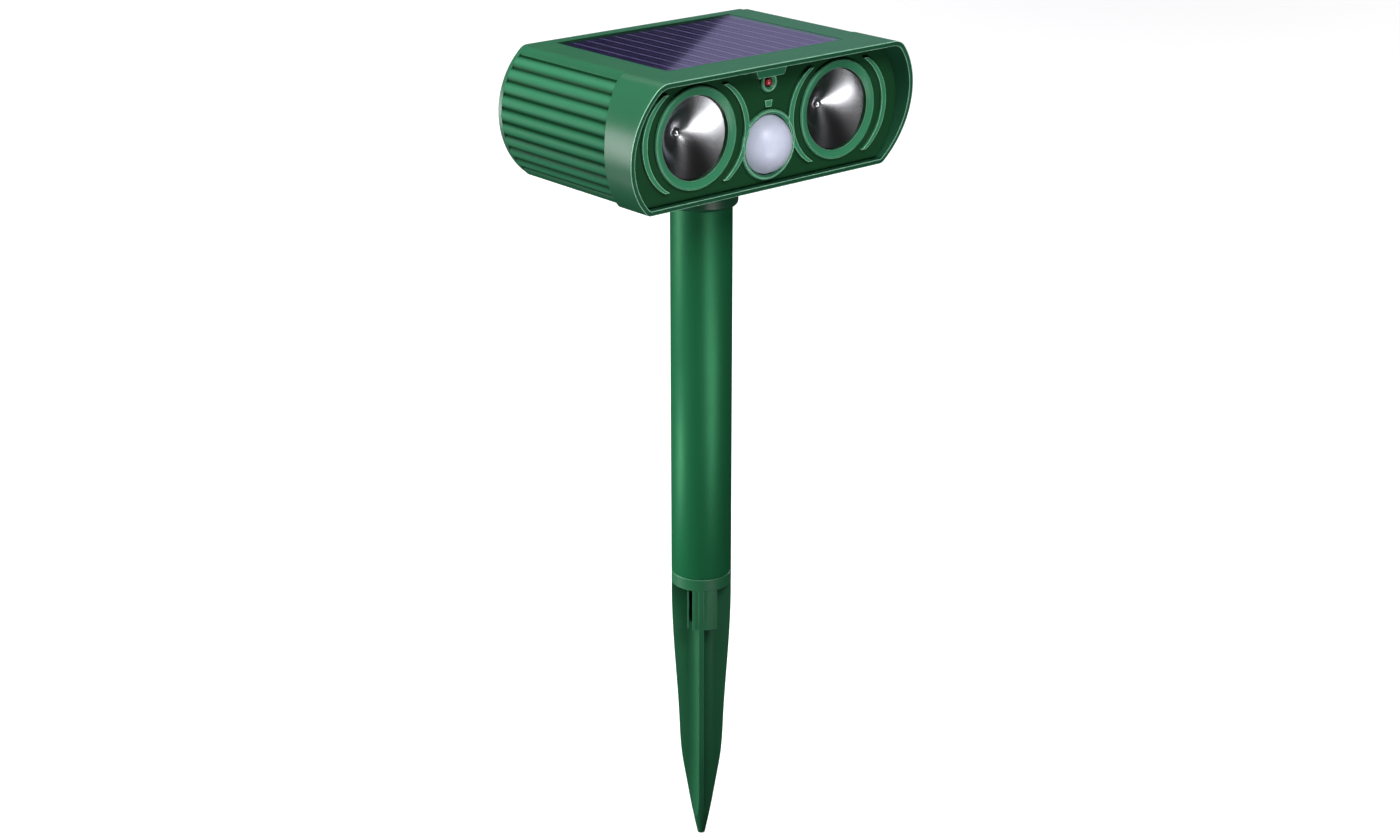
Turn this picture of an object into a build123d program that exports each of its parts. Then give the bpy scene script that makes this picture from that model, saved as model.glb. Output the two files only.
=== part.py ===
from build123d import *
from math import asin, cos, degrees, radians, sin, sqrt
import os

# Ultrasonic pest repeller for a garden: a head with two loudspeakers, a motion sensor and a
# solar panel, on a pole that plugs onto a ground stake. Millimetres. The origin is where the
# pole's axis meets the ground line, +Z is up and the head looks along -Y.

# Head
HEAD_WIDTH = 145.0
HEAD_HEIGHT = 51.5
HEAD_BOTTOM = 180.0
HEAD_TOP = HEAD_BOTTOM + HEAD_HEIGHT
HEAD_MID = HEAD_BOTTOM + HEAD_HEIGHT / 2
HOOD_Y = -49.8
SILL_Y = -41.0
BACK_Y = 41.2
SIDE_BULGE = 11.5
SIDE_RADIUS = ((HEAD_HEIGHT / 2) ** 2 + SIDE_BULGE**2) / (2 * SIDE_BULGE)
SIDE_CENTRE = HEAD_WIDTH / 2 - SIDE_RADIUS
WALL = 2.2
RIM_WALL = 1.9
SIDE_INSET = 5.0
TOP_CORNER = 8.0
BOTTOM_CORNER = 3.0

# Reeds along both sides behind the smooth front band
REED_COUNT = 9
REED_INSET = 2.2
REED_DEPTH = 0.95
REED_HALF_ANGLE = 44.5
BAND_TOP_Y = -24.8
BAND_MID_Y = -29.4
BAND_LOW_Y = -23.2

# Front panel
PANEL_Y = -38.8
PANEL_THICK = 2.5
PANEL_BACK = PANEL_Y + PANEL_THICK
PANEL_GAP = 0.6
SPEAKER_X = 0.253 * HEAD_WIDTH
SPEAKER_Z = HEAD_MID
RING_RADIUS = 19.982
CONE_RADIUS = RING_RADIUS - 3.6
RING_PROUD = 1.6
CONE_DEPTH = 11.0
CONE_WALL = 0.9
CONE_HOLE = 1.2
GASKET_THICK = 0.8
CAP_DEPTH = 4.2
DRIVER_BACK = PANEL_Y + CONE_DEPTH + 1.6
CRESCENT_RADIUS = RING_RADIUS + 1.7
CRESCENT_SHIFT = 4.7
CRESCENT_THICK = 2.3
CRESCENT_PROUD = 1.5
LENS_Z = HEAD_BOTTOM + 0.338 * HEAD_HEIGHT
LENS_RADIUS = 11.49995
LENS_RISE = 0.74 * LENS_RADIUS
LENS_WALL = 0.9
LENS_RING = LENS_RADIUS + 2.4
LENS_FLANGE = LENS_RING + 1.0
LENS_GAP = 0.5
LED_Z = HEAD_BOTTOM + 0.815 * HEAD_HEIGHT
LED_RADIUS = 1.5
LED_RING = 4.0
FIT_GAP = 0.15
DOME_TIP = 0.25
FLANGE_THICK = 1.0

# Sensor behind the panel, its board on two posts beside the lens
SENSOR_BACK = PANEL_BACK + 8.0
SENSOR_HALF = SPEAKER_X - CONE_RADIUS + 0.7
SENSOR_BOARD = 1.2
POST_RADIUS = 2.4
POST_X = SENSOR_HALF - 3.5
POST_DROP = 9.46853
POST_Z = LENS_Z - POST_DROP
POST_BORE = 0.9
CAN_RADIUS = 4.1
WINDOW_WIDE = 2.1
WINDOW_TALL = 1.6

# Solar panel in the top
SOLAR_HALF = 45.0
SOLAR_FRONT = -33.2
SOLAR_BACK = 34.8
SOLAR_COVER = 0.8
SOLAR_CELL = 0.2
SOLAR_BOARD = 1.2
SOLAR_MARGIN = 0.8
SOLAR_RECESS = 0.15
SOLAR_STRIPS = 13
SOLAR_GAP = 0.7

# Pole, head socket and stake
POLE_RADIUS = 12.75
POLE_BORE = POLE_RADIUS - 1.65
POLE_BOTTOM = 4.2
COLLAR_RADIUS = POLE_RADIUS + 2.25
COLLAR_BOTTOM = HEAD_BOTTOM - 14.5
SPIGOT_RADIUS = POLE_RADIUS - 3.75
SPIGOT_WALL = 2.0
SOCKET_WALL = 3.0
SPIGOT_LENGTH = 32.0
RUNNING = 0.05
SOCKET_TOP = HEAD_BOTTOM + 20.0
PLUG_LENGTH = 26.0
STAKE_DEPTH = 125.3
FIN_HOLLOW = 0.361 * POLE_RADIUS
FIN_THICK = 2.2
FIN_TURN = 49.4
KEY_HEIGHT = 19.4
KEY_LEFT = -3.8
KEY_RIGHT = 6.75
KEY_SLIT = 1.5

# Rear cover and what is set into it
COVER_THICK = 3.0
SLEEVE_BACK = BACK_Y - COVER_THICK
DOOR_HALF = 31.5
DOOR_HEIGHT = 39.0
DOOR_THICK = 2.0
DOOR_Z = HEAD_MID - 0.3
DOOR_SCREW_X = DOOR_HALF - 3.1
DOOR_SCREW_RISE = DOOR_HEIGHT / 2 - 2.8
LIP = 1.2
FLAP_AXIS_Y = BACK_Y + 1.8
CONTROL_X = 43.0
CONTROL_Y = SLEEVE_BACK - 11.5
KNOB_UPPER_Z = HEAD_MID + 10.5
KNOB_LOWER_Z = HEAD_MID - 10.5
KNOB_RADIUS = 7.0
KNOB_HEIGHT = 5.0
KNOB_CLEAR = 0.6
SHAFT_RADIUS = 3.0
BUTTON_RADIUS = 4.5
SCREW_X = HEAD_WIDTH / 2 - 17.0
SCREW_RISE = HEAD_HEIGHT / 2 - 6.25
SCREW_RADIUS = 1.4

# Batteries and electronics
CELL_RADIUS = 5.25
CELL_LENGTH = 44.5
CELL_PITCH = 11.2
CELL_Y = 30.6
BOARD_Z = SOCKET_TOP + 3.0
BOARD_THICK = 1.6
BOARD_HALF = HEAD_WIDTH / 2 - 22.5
BOARD_FRONT = -17.0
BOARD_BACK = 20.0
STANDOFF_INSET = 5.0
STANDOFF_RADIUS = 3.2
PILOT_RADIUS = 1.1
LEAD_RADIUS = 0.6
LEAD_BEND = 1.6


def block(x0, x1, y0, y1, z0, z1):
    """Box between two corners."""
    centre = Pos((x0 + x1) / 2, (y0 + y1) / 2, (z0 + z1) / 2)
    return centre * Box(x1 - x0, y1 - y0, z1 - z0)


def rod_z(radius, z0, z1, x=0.0, y=0.0):
    """Upright cylinder."""
    return Pos(x, y, (z0 + z1) / 2) * Cylinder(radius, z1 - z0)


def rod_y(radius, y0, y1, x, z):
    """Cylinder lying front to back."""
    return Pos(x, (y0 + y1) / 2, z) * Rot(90, 0, 0) * Cylinder(radius, y1 - y0)


def rod_x(radius, x0, x1, y, z):
    """Cylinder lying left to right."""
    return Pos((x0 + x1) / 2, y, z) * Rot(0, 90, 0) * Cylinder(radius, abs(x1 - x0))


def slab(face, y0, y1):
    """Face drawn in X and Z made solid from y0 to y1."""
    return Pos(0, y1, 0) * extrude(Plane.XZ * face, amount=y1 - y0)


def turned_y(points, x, z):
    """Profile of radius and Y turned about an axis parallel to Y."""
    face = make_face(Polyline(*[(r, y) for r, y in points], close=True))
    return Pos(x, 0, z) * revolve(face, axis=Axis.Y)


def turned_z(points):
    """Profile of radius and Z turned about the Z axis."""
    face = Plane.XZ * make_face(Polyline(*points, close=True))
    return revolve(face, axis=Axis.Z)


def outline(side_inset, flat_inset, top_radius, bottom_radius):
    """Head seen from the front: flat top and bottom, sides bulging as arcs."""
    radius = SIDE_RADIUS - side_inset
    z0 = HEAD_BOTTOM + flat_inset
    z1 = HEAD_TOP - flat_inset
    x0 = SIDE_CENTRE + sqrt(radius**2 - (HEAD_MID - z0) ** 2)
    peak = SIDE_CENTRE + radius
    edges = [
        Line((-x0, z1), (x0, z1)),
        ThreePointArc((x0, z1), (peak, HEAD_MID), (x0, z0)),
        Line((x0, z0), (-x0, z0)),
        ThreePointArc((-x0, z0), (-peak, HEAD_MID), (-x0, z1)),
    ]
    face = make_face(edges)
    top = face.vertices().filter_by_position(Axis.Y, z1 - 0.01, z1 + 0.01)
    face = fillet(top, top_radius)
    bottom = face.vertices().filter_by_position(Axis.Y, z0 - 0.01, z0 + 0.01)
    return fillet(bottom, bottom_radius)


def side_point(radius, angle, side):
    """Point on an arc about one side's centre."""
    x = SIDE_CENTRE + radius * cos(radians(angle))
    return (side * x, HEAD_MID + radius * sin(radians(angle)))


def reeded_outline():
    """Head seen from the front behind the band, each side a row of convex reeds."""
    crest = SIDE_RADIUS - REED_INSET
    crease = crest - REED_DEPTH
    step = 2 * REED_HALF_ANGLE / REED_COUNT
    top_x = side_point(crease, REED_HALF_ANGLE, 1)[0] - 2.4
    edges = [Line((-top_x, HEAD_TOP), (top_x, HEAD_TOP))]
    edges.append(Line((-top_x, HEAD_BOTTOM), (top_x, HEAD_BOTTOM)))
    for side in (-1, 1):
        for i in range(REED_COUNT):
            angle = -REED_HALF_ANGLE + i * step
            low = side_point(crease, angle, side)
            middle = side_point(crest, angle + step / 2, side)
            high = side_point(crease, angle + step, side)
            edges.append(ThreePointArc(low, middle, high))
        for end, z in ((-REED_HALF_ANGLE, HEAD_BOTTOM), (REED_HALF_ANGLE, HEAD_TOP)):
            start = side_point(crease, end, side)
            middle = ((start[0] + side * top_x) / 2 + side * 0.5, (start[1] + z) / 2)
            edges.append(ThreePointArc(start, middle, (side * top_x, z)))
    return make_face(edges)


def band_region():
    """Everything between the slanted front of the hood and the start of the reeds."""
    z0, z1 = HEAD_BOTTOM - 1, HEAD_TOP + 1
    slope = (SILL_Y - HOOD_Y) / HEAD_HEIGHT
    edges = [
        Line((HOOD_Y - slope, z1), (SILL_Y + slope, z0)),
        Line((SILL_Y + slope, z0), (BAND_LOW_Y, z0)),
        ThreePointArc((BAND_LOW_Y, z0), (BAND_MID_Y, HEAD_MID), (BAND_TOP_Y, z1)),
        Line((BAND_TOP_Y, z1), (HOOD_Y - slope, z1)),
    ]
    return extrude(Plane.YZ * make_face(edges), amount=HEAD_WIDTH, both=True)


def boss_positions():
    """Where the rear cover's four screws stand."""
    return [(sx * SCREW_X, HEAD_MID + sz * SCREW_RISE) for sx in (-1, 1) for sz in (-1, 1)]


def standoff_positions():
    """Where the main board's four screws stand."""
    x = BOARD_HALF - STANDOFF_INSET
    rows = (BOARD_FRONT + STANDOFF_INSET, BOARD_BACK - STANDOFF_INSET)
    return [(sx * x, y) for sx in (-1, 1) for y in rows]


def socket_screw_positions():
    """Where the pole socket's four screws stand."""
    return [(sx * 18.0, sy * 14.5) for sx in (-1, 1) for sy in (-1, 1)]


def body_shell():
    """Sleeve of the head with its hood, reeded sides, solar recess and bosses."""
    band = slab(outline(0, 0, TOP_CORNER, BOTTOM_CORNER), HOOD_Y - 2, BAND_TOP_Y + 2)
    shell = (band & band_region()) + slab(reeded_outline(), BAND_MID_Y - 2, SLEEVE_BACK)
    shell -= slab(outline(SIDE_INSET, WALL, 6.0, 2.0), PANEL_BACK - 0.1, SLEEVE_BACK + 1)
    shell -= slab(outline(RIM_WALL, RIM_WALL, 6.5, 1.8), HOOD_Y - 3, PANEL_BACK)
    depth = SOLAR_RECESS + SOLAR_COVER + SOLAR_CELL + SOLAR_BOARD
    floor = HEAD_TOP - depth
    front, back = SOLAR_FRONT, SOLAR_BACK
    tray = block(-SOLAR_HALF - 2, SOLAR_HALF + 2, front - 2, back + 2, floor - 1.5, floor + 0.2)
    shell += tray
    gap = FIT_GAP
    half = SOLAR_HALF + gap
    shell -= block(-half, half, front - gap, back + gap, floor, HEAD_TOP + 1)
    shell -= block(-SOLAR_HALF + 6, SOLAR_HALF - 6, front + 6, back - 6, floor - 3, floor + 1)
    for x, z in boss_positions():
        rise = 1 if z > HEAD_MID else -1
        boss = rod_y(3.4, 8, SLEEVE_BACK, x, z)
        web_z = z + rise * 2.25
        web = block(x - 1.2, x + 1.2, 8, SLEEVE_BACK, web_z - 2.25, web_z + 2.25)
        shell += boss + web
        shell -= rod_y(SCREW_RADIUS, 20, SLEEVE_BACK + 1, x, z)
    inner = HEAD_BOTTOM + WALL
    for x, y in standoff_positions():
        shell += rod_z(STANDOFF_RADIUS, inner - 1, BOARD_Z, x, y)
        shell -= rod_z(PILOT_RADIUS, BOARD_Z - 9, BOARD_Z + 1, x, y)
    shell -= rod_z(COLLAR_RADIUS + FIT_GAP, HEAD_BOTTOM - 1, inner + 1)
    for x, y in socket_screw_positions():
        shell -= rod_z(PILOT_RADIUS, HEAD_BOTTOM + 0.8, inner + 1, x, y)
    return shell


def crescent(x, direction):
    """Raised crescent beside a loudspeaker, thick in the middle and pointed at both ends."""
    outer = Pos(x + direction * CRESCENT_SHIFT, SPEAKER_Z) * Circle(CRESCENT_RADIUS)
    inner_x = x + direction * (CRESCENT_SHIFT - CRESCENT_THICK)
    inner = Pos(inner_x, SPEAKER_Z) * Circle(CRESCENT_RADIUS)
    reach = CRESCENT_RADIUS * 0.86
    side = Pos(x + direction * 3 * CRESCENT_RADIUS / 2 + direction * 8.6, SPEAKER_Z)
    keep = side * Rectangle(3 * CRESCENT_RADIUS, 2 * reach)
    return slab((outer - inner) & keep, PANEL_Y - CRESCENT_PROUD, PANEL_Y + 0.1)


def trapezoid(top_half, bottom_half, z_top, z_bottom, proud):
    """Raised trapezoid in the middle of the front panel."""
    corners = [
        (-top_half, z_top),
        (top_half, z_top),
        (bottom_half, z_bottom),
        (-bottom_half, z_bottom),
    ]
    face = make_face(Polyline(*corners, close=True))
    return slab(face, PANEL_Y - proud, PANEL_Y + 0.1)


def bezel(x, z, outer, inner, proud):
    """Raised ring whose outer edge is rounded and whose inside slopes down to the hole."""
    points = [
        (inner, PANEL_Y + 0.1),
        (inner, PANEL_Y - 0.35 * proud),
        (inner + 0.45 * (outer - inner), PANEL_Y - 0.8 * proud),
        (outer - 0.9, PANEL_Y - proud),
        (outer - 0.35, PANEL_Y - 0.92 * proud),
        (outer, PANEL_Y - 0.6 * proud),
        (outer, PANEL_Y + 0.1),
    ]
    return turned_y(points, x, z)


def front_panel():
    """Front plate with rings for the loudspeakers, sensor and lamp."""
    inset = RIM_WALL + PANEL_GAP
    panel = slab(outline(inset, inset, 6.0, 1.4), PANEL_Y, PANEL_BACK)
    for side in (-1, 1):
        x = side * SPEAKER_X
        panel += bezel(x, SPEAKER_Z, RING_RADIUS, CONE_RADIUS, RING_PROUD)
        panel += crescent(x, side)
        panel += crescent(x, -side)
    panel += bezel(0, LENS_Z, LENS_RING, LENS_RADIUS + LENS_GAP, RING_PROUD)
    panel += trapezoid(8.4, 6.5, HEAD_TOP - inset - 0.3, LED_Z + 2.3, 2.4)
    panel += bezel(0, LED_Z, LED_RING, LED_RADIUS + 0.6, 1.6)
    panel += trapezoid(1.9, 1.35, LED_Z - 7.1, LED_Z - 9.7, 0.9)
    for side in (-1, 1):
        hole = rod_y(CONE_RADIUS, PANEL_Y - 3, PANEL_BACK + 1, side * SPEAKER_X, SPEAKER_Z)
        panel -= hole
    panel -= rod_y(LENS_RADIUS + LENS_GAP, PANEL_Y - 3, PANEL_BACK + 1, 0, LENS_Z)
    panel -= rod_y(LED_RADIUS + FIT_GAP, PANEL_Y - 4, PANEL_BACK + 1, 0, LED_Z)
    for side in (-1, 1):
        panel += rod_y(POST_RADIUS, PANEL_BACK - 0.5, SENSOR_BACK, side * POST_X, POST_Z)
        panel -= rod_y(POST_BORE, PANEL_BACK, SENSOR_BACK + 1, side * POST_X, POST_Z)
    return panel


def speaker_cone(side):
    """Spun metal cone, its wide end just behind the ring and a small hole at its apex."""
    front = PANEL_Y + CONE_WALL
    apex = PANEL_Y + CONE_DEPTH
    rim = CONE_RADIUS - FIT_GAP
    points = [
        (rim, front),
        (CONE_HOLE, apex),
        (CONE_HOLE, apex + CONE_WALL),
        (rim, front + CONE_WALL),
    ]
    return turned_y(points, side * SPEAKER_X, SPEAKER_Z)


def speaker_dome(side):
    """Small ball closing the cone's apex."""
    x = side * SPEAKER_X
    radius = CONE_HOLE - 0.05
    apex = PANEL_Y + CONE_DEPTH
    ball = Pos(x, apex - 0.3, SPEAKER_Z) * Sphere(1.6)
    ball &= rod_y(radius, apex - 3, apex + 2, x, SPEAKER_Z)
    return ball + rod_y(radius, apex - 0.3, DRIVER_BACK, x, SPEAKER_Z)


def speaker_frame(side):
    """Moulded horn body behind the panel that carries the cone."""
    front = PANEL_BACK + GASKET_THICK
    back = DRIVER_BACK
    rim = CONE_RADIUS - FIT_GAP
    y_rim = PANEL_Y + 2 * CONE_WALL
    slope = (CONE_DEPTH - CONE_WALL) / (rim - CONE_HOLE)
    inside = 4.0
    y_inside = y_rim + (rim - inside) * slope
    points = [
        (rim + 2.6, front),
        (rim, front),
        (rim - 0.8, y_rim + 0.8 * slope),
        (inside, y_inside),
        (inside, back),
        (rim - 3, back),
        (rim + 0.4, back - 5),
        (rim + 2.6, back - 7),
    ]
    return turned_y(points, side * SPEAKER_X, SPEAKER_Z)


def speaker_gasket(side):
    """Foam ring between the panel's back and the horn body."""
    x = side * SPEAKER_X
    rim = CONE_RADIUS - FIT_GAP
    ring = rod_y(rim + 2.5, PANEL_BACK, PANEL_BACK + GASKET_THICK, x, SPEAKER_Z)
    return ring - rod_y(rim + 0.3, PANEL_BACK - 1, PANEL_BACK + 2, x, SPEAKER_Z)


def piezo_disc(side):
    """Brass-backed ceramic disc that drives the horn."""
    back = DRIVER_BACK
    return rod_y(CONE_RADIUS - 4.0, back, back + 0.6, side * SPEAKER_X, SPEAKER_Z)


def speaker_cap(side):
    """Cap over the back of the driver."""
    back = DRIVER_BACK
    x = side * SPEAKER_X
    cap = rod_y(CONE_RADIUS - 2.8, back, back + CAP_DEPTH, x, SPEAKER_Z)
    cap -= rod_y(CONE_RADIUS - 3.8, back - 1, back + 1.4, x, SPEAKER_Z)
    cap -= rod_y(CONE_RADIUS - 5.5, back, back + 3.0, x, SPEAKER_Z)
    return cap


def dome_arc(centre, radius, edge):
    """Quarter of a dome's section, from a tiny flat at its tip out to the edge's radius."""
    first = degrees(asin(DOME_TIP / radius))
    last = degrees(asin(min(edge / radius, 1)))
    return CenterArc((0, centre), radius, first - 90, last - first)


def sensor_lens():
    """Frosted dome in front of the motion sensor, with a flange behind the panel."""
    base = PANEL_Y - 0.4
    outer = (LENS_RADIUS**2 + LENS_RISE**2) / (2 * LENS_RISE)
    centre = base - LENS_RISE + outer
    inner = outer - LENS_WALL
    bore = LENS_RADIUS - LENS_WALL
    start = centre - sqrt(inner**2 - bore**2)
    outer_arc = dome_arc(centre, outer, LENS_RADIUS)
    inner_arc = dome_arc(centre, inner, bore)
    rest = Polyline(
        (LENS_RADIUS, base),
        (LENS_RADIUS, PANEL_BACK),
        (LENS_FLANGE, PANEL_BACK),
        (LENS_FLANGE, PANEL_BACK + FLANGE_THICK),
        (bore, PANEL_BACK + FLANGE_THICK),
        (bore, start),
    )
    tip = Polyline(inner_arc @ 0, (0, (inner_arc @ 0).Y), (0, (outer_arc @ 0).Y), outer_arc @ 0)
    face = make_face([outer_arc, *rest.edges(), inner_arc, *tip.edges()])
    return Pos(0, 0, LENS_Z) * revolve(face, axis=Axis.Y)


def sensor_board():
    """Small upright board that carries the motion sensor and presses the lens forward."""
    y = SENSOR_BACK
    low = POST_Z - 3.0
    high = LENS_Z + 10.0
    board = block(-SENSOR_HALF, SENSOR_HALF, y, y + SENSOR_BOARD, low, high)
    for side in (-1, 1):
        board -= rod_y(POST_BORE + 0.3, y - 1, y + 3, side * POST_X, POST_Z)
    return board


def sensor_can():
    """Metal can of the motion sensor with a rim, seated on its board."""
    y = SENSOR_BACK
    can = rod_y(CAN_RADIUS, y - 4.2, y - 0.4, 0, LENS_Z)
    can += rod_y(CAN_RADIUS + 0.5, y - 0.6, y, 0, LENS_Z)
    wide, tall = WINDOW_WIDE, WINDOW_TALL
    return can - block(-wide, wide, y - 5, y - 3.9, LENS_Z - tall, LENS_Z + tall)


def sensor_window():
    """Dark filter in the front of the sensor can."""
    y = SENSOR_BACK
    wide, tall = WINDOW_WIDE, WINDOW_TALL
    return block(-wide, wide, y - 4.3, y - 3.9, LENS_Z - tall, LENS_Z + tall)


def lens_clip():
    """Ring holding the lens flange against the panel, its posts resting on the board."""
    y = PANEL_BACK + FLANGE_THICK
    ring = rod_y(LENS_FLANGE, y, y + 1.2, 0, LENS_Z)
    ring -= rod_y(LENS_RADIUS, y - 1, y + 3, 0, LENS_Z)
    middle = (LENS_RADIUS + LENS_FLANGE) / 2 - 0.9
    for turn in (40, 140, 227, 313):
        x = middle * cos(radians(turn))
        z = LENS_Z + middle * sin(radians(turn))
        ring += rod_y(1.3, y + 1, SENSOR_BACK, x, z)
    return ring


def door_screw_positions():
    """Where the battery door's four screws stand."""
    rise = DOOR_SCREW_RISE
    return [(sx * DOOR_SCREW_X, DOOR_Z + sz * rise) for sx in (-1, 1) for sz in (-1, 1)]


def board_screws():
    """Two screws holding the sensor board on the panel's posts."""
    y = SENSOR_BACK + SENSOR_BOARD
    screws = Part()
    for side in (-1, 1):
        x = side * POST_X
        screws += rod_y(2.0, y, y + 1.2, x, POST_Z)
        screws += rod_y(POST_BORE, PANEL_BACK + 4, y, x, POST_Z)
    return screws


def lamp():
    """Round red indicator with a domed front and a collar behind the panel."""
    front = PANEL_Y - 0.2
    arc = dome_arc(front, LED_RADIUS, LED_RADIUS)
    rest = Polyline(
        (LED_RADIUS, front),
        (LED_RADIUS, PANEL_BACK),
        (1.95, PANEL_BACK),
        (1.95, PANEL_BACK + 1.0),
        (0, PANEL_BACK + 1.0),
        (0, (arc @ 0).Y),
        arc @ 0,
    )
    return Pos(0, 0, LED_Z) * revolve(make_face([arc, *rest.edges()]), axis=Axis.Y)


def lamp_holder():
    """Small board and spacer carrying the lamp behind the panel."""
    y = PANEL_BACK + 1.0
    return block(-6.5, 6.5, y, y + 1.2, LED_Z - 4.5, LED_Z + 4)


def solar_base():
    """Z of the underside of the solar board."""
    return HEAD_TOP - SOLAR_RECESS - SOLAR_COVER - SOLAR_CELL - SOLAR_BOARD


def solar_board():
    """Dark backing board of the solar panel."""
    z = solar_base()
    return block(-SOLAR_HALF, SOLAR_HALF, SOLAR_FRONT, SOLAR_BACK, z, z + SOLAR_BOARD)


def solar_cells():
    """Narrow cell strips running front to back, with thin gaps between them."""
    z = solar_base() + SOLAR_BOARD
    cells = Part()
    pitch = 2 * (SOLAR_HALF - SOLAR_MARGIN) / SOLAR_STRIPS
    for i in range(SOLAR_STRIPS):
        x = -SOLAR_HALF + SOLAR_MARGIN + i * pitch
        cells += block(
            x + SOLAR_GAP / 2,
            x + pitch - SOLAR_GAP / 2,
            SOLAR_FRONT + SOLAR_MARGIN,
            SOLAR_BACK - SOLAR_MARGIN,
            z,
            z + SOLAR_CELL,
        )
    return cells


def solar_cover():
    """Clear sheet over the cells."""
    z = HEAD_TOP - SOLAR_RECESS - SOLAR_COVER
    return block(-SOLAR_HALF, SOLAR_HALF, SOLAR_FRONT, SOLAR_BACK, z, z + SOLAR_COVER)


def pole_socket():
    """Socket under the head: collar through the floor, plate on the floor, bore for the pole."""
    inner = HEAD_BOTTOM + WALL
    collar = rod_z(COLLAR_RADIUS, COLLAR_BOTTOM, inner + 0.5)
    lower = collar.edges().filter_by(GeomType.CIRCLE).sort_by(Axis.Z)[0]
    socket = fillet(lower, 2.0)
    socket += block(-22, 22, -18.5, 18.5, inner, inner + 3)
    socket += rod_z(SPIGOT_RADIUS + SOCKET_WALL, inner, SOCKET_TOP)
    socket -= rod_z(SPIGOT_RADIUS + RUNNING, COLLAR_BOTTOM - 1, SOCKET_TOP - 2.0)
    for x, y in socket_screw_positions():
        socket -= rod_z(1.5, inner - 1, inner + 4, x, y)
    return socket


def socket_screws():
    """Four screws through the socket plate into the head's floor."""
    top = HEAD_BOTTOM + WALL + 3
    screws = Part()
    for x, y in socket_screw_positions():
        screws += rod_z(2.6, top, top + 1.6, x, y)
        screws += rod_z(PILOT_RADIUS, HEAD_BOTTOM + 0.8, top, x, y)
    return screws


def pole():
    """Round tube with a turned-down spigot at the top and an open lower end."""
    top = COLLAR_BOTTOM
    spigot_top = top + SPIGOT_LENGTH
    points = [
        (POLE_BORE + RUNNING, POLE_BOTTOM),
        (POLE_RADIUS - 0.3, POLE_BOTTOM),
        (POLE_RADIUS, POLE_BOTTOM + 0.3),
        (POLE_RADIUS, top),
        (SPIGOT_RADIUS, top),
        (SPIGOT_RADIUS, spigot_top - 1),
        (SPIGOT_RADIUS - 1, spigot_top),
        (SPIGOT_RADIUS - SPIGOT_WALL, spigot_top),
        (SPIGOT_RADIUS - SPIGOT_WALL, top - 2),
        (POLE_BORE + RUNNING, top - 6),
    ]
    return turned_z(points)


def fin_profile():
    """Half of the stake's side view: radius against height below the ground line."""
    steps = [
        (0.996, 0),
        (0.965, 0.184),
        (0.855, 0.367),
        (0.765, 0.519),
        (0.682, 0.670),
        (0.502, 0.790),
        (0.341, 0.890),
        (0.212, 0.958),
        (0.125, 1),
    ]
    return [(share * POLE_RADIUS, -depth * STAKE_DEPTH) for share, depth in steps]


def stake_cross():
    """Four tapering fins with hollow corners between them."""
    points = fin_profile()
    curve = Spline(*points)
    closing = Polyline(points[-1], (0, points[-1][1]), (0, 0), points[0])
    envelope = revolve(Plane.XZ * make_face([curve, closing]), axis=Axis.Z)
    half = FIN_THICK / 2
    far = POLE_RADIUS + 1
    reach = half + FIN_HOLLOW
    cross = Rectangle(2 * far, FIN_THICK) + Rectangle(FIN_THICK, 2 * far)
    cross += Rectangle(2 * reach, 2 * reach)
    for sx in (-1, 1):
        for sy in (-1, 1):
            cross -= Pos(sx * reach, sy * reach) * Circle(FIN_HOLLOW)
    fins = Pos(0, 0, -STAKE_DEPTH - 1) * extrude(cross, amount=STAKE_DEPTH + 2)
    return envelope & fins & rod_z(far, -STAKE_DEPTH - 1, 0)


def stake():
    """Ground stake with its collar, the plug for the pole, four fins and a key block."""
    body = stake_cross() + rod_z(POLE_RADIUS, -1.0, POLE_BOTTOM - 0.3)
    body += turned_z([
        (0, POLE_BOTTOM - 0.4),
        (POLE_RADIUS, POLE_BOTTOM - 0.4),
        (POLE_RADIUS, POLE_BOTTOM - 0.3),
        (POLE_RADIUS - 0.3, POLE_BOTTOM),
        (POLE_BORE, POLE_BOTTOM),
        (POLE_BORE, POLE_BOTTOM + PLUG_LENGTH - 1.5),
        (POLE_BORE - 1.5, POLE_BOTTOM + PLUG_LENGTH),
        (0, POLE_BOTTOM + PLUG_LENGTH),
    ])
    body -= rod_z(POLE_BORE - 2.2, POLE_BOTTOM + 2, POLE_BOTTOM + PLUG_LENGTH + 1)
    key = block(KEY_LEFT, KEY_RIGHT, -POLE_RADIUS + 0.35, -2, -KEY_HEIGHT, 0)
    wall_x = KEY_LEFT - KEY_SLIT
    key += block(wall_x - 0.7, wall_x, -POLE_RADIUS + 2.4, -2, -KEY_HEIGHT, 0)
    key += block(wall_x - 0.7, 0, -3.4, -2, -KEY_HEIGHT, 0)
    key &= rod_z(POLE_RADIUS - 0.1, -KEY_HEIGHT - 1, 1)
    body += key
    return Rot(0, 0, FIN_TURN - 90) * body


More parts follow.
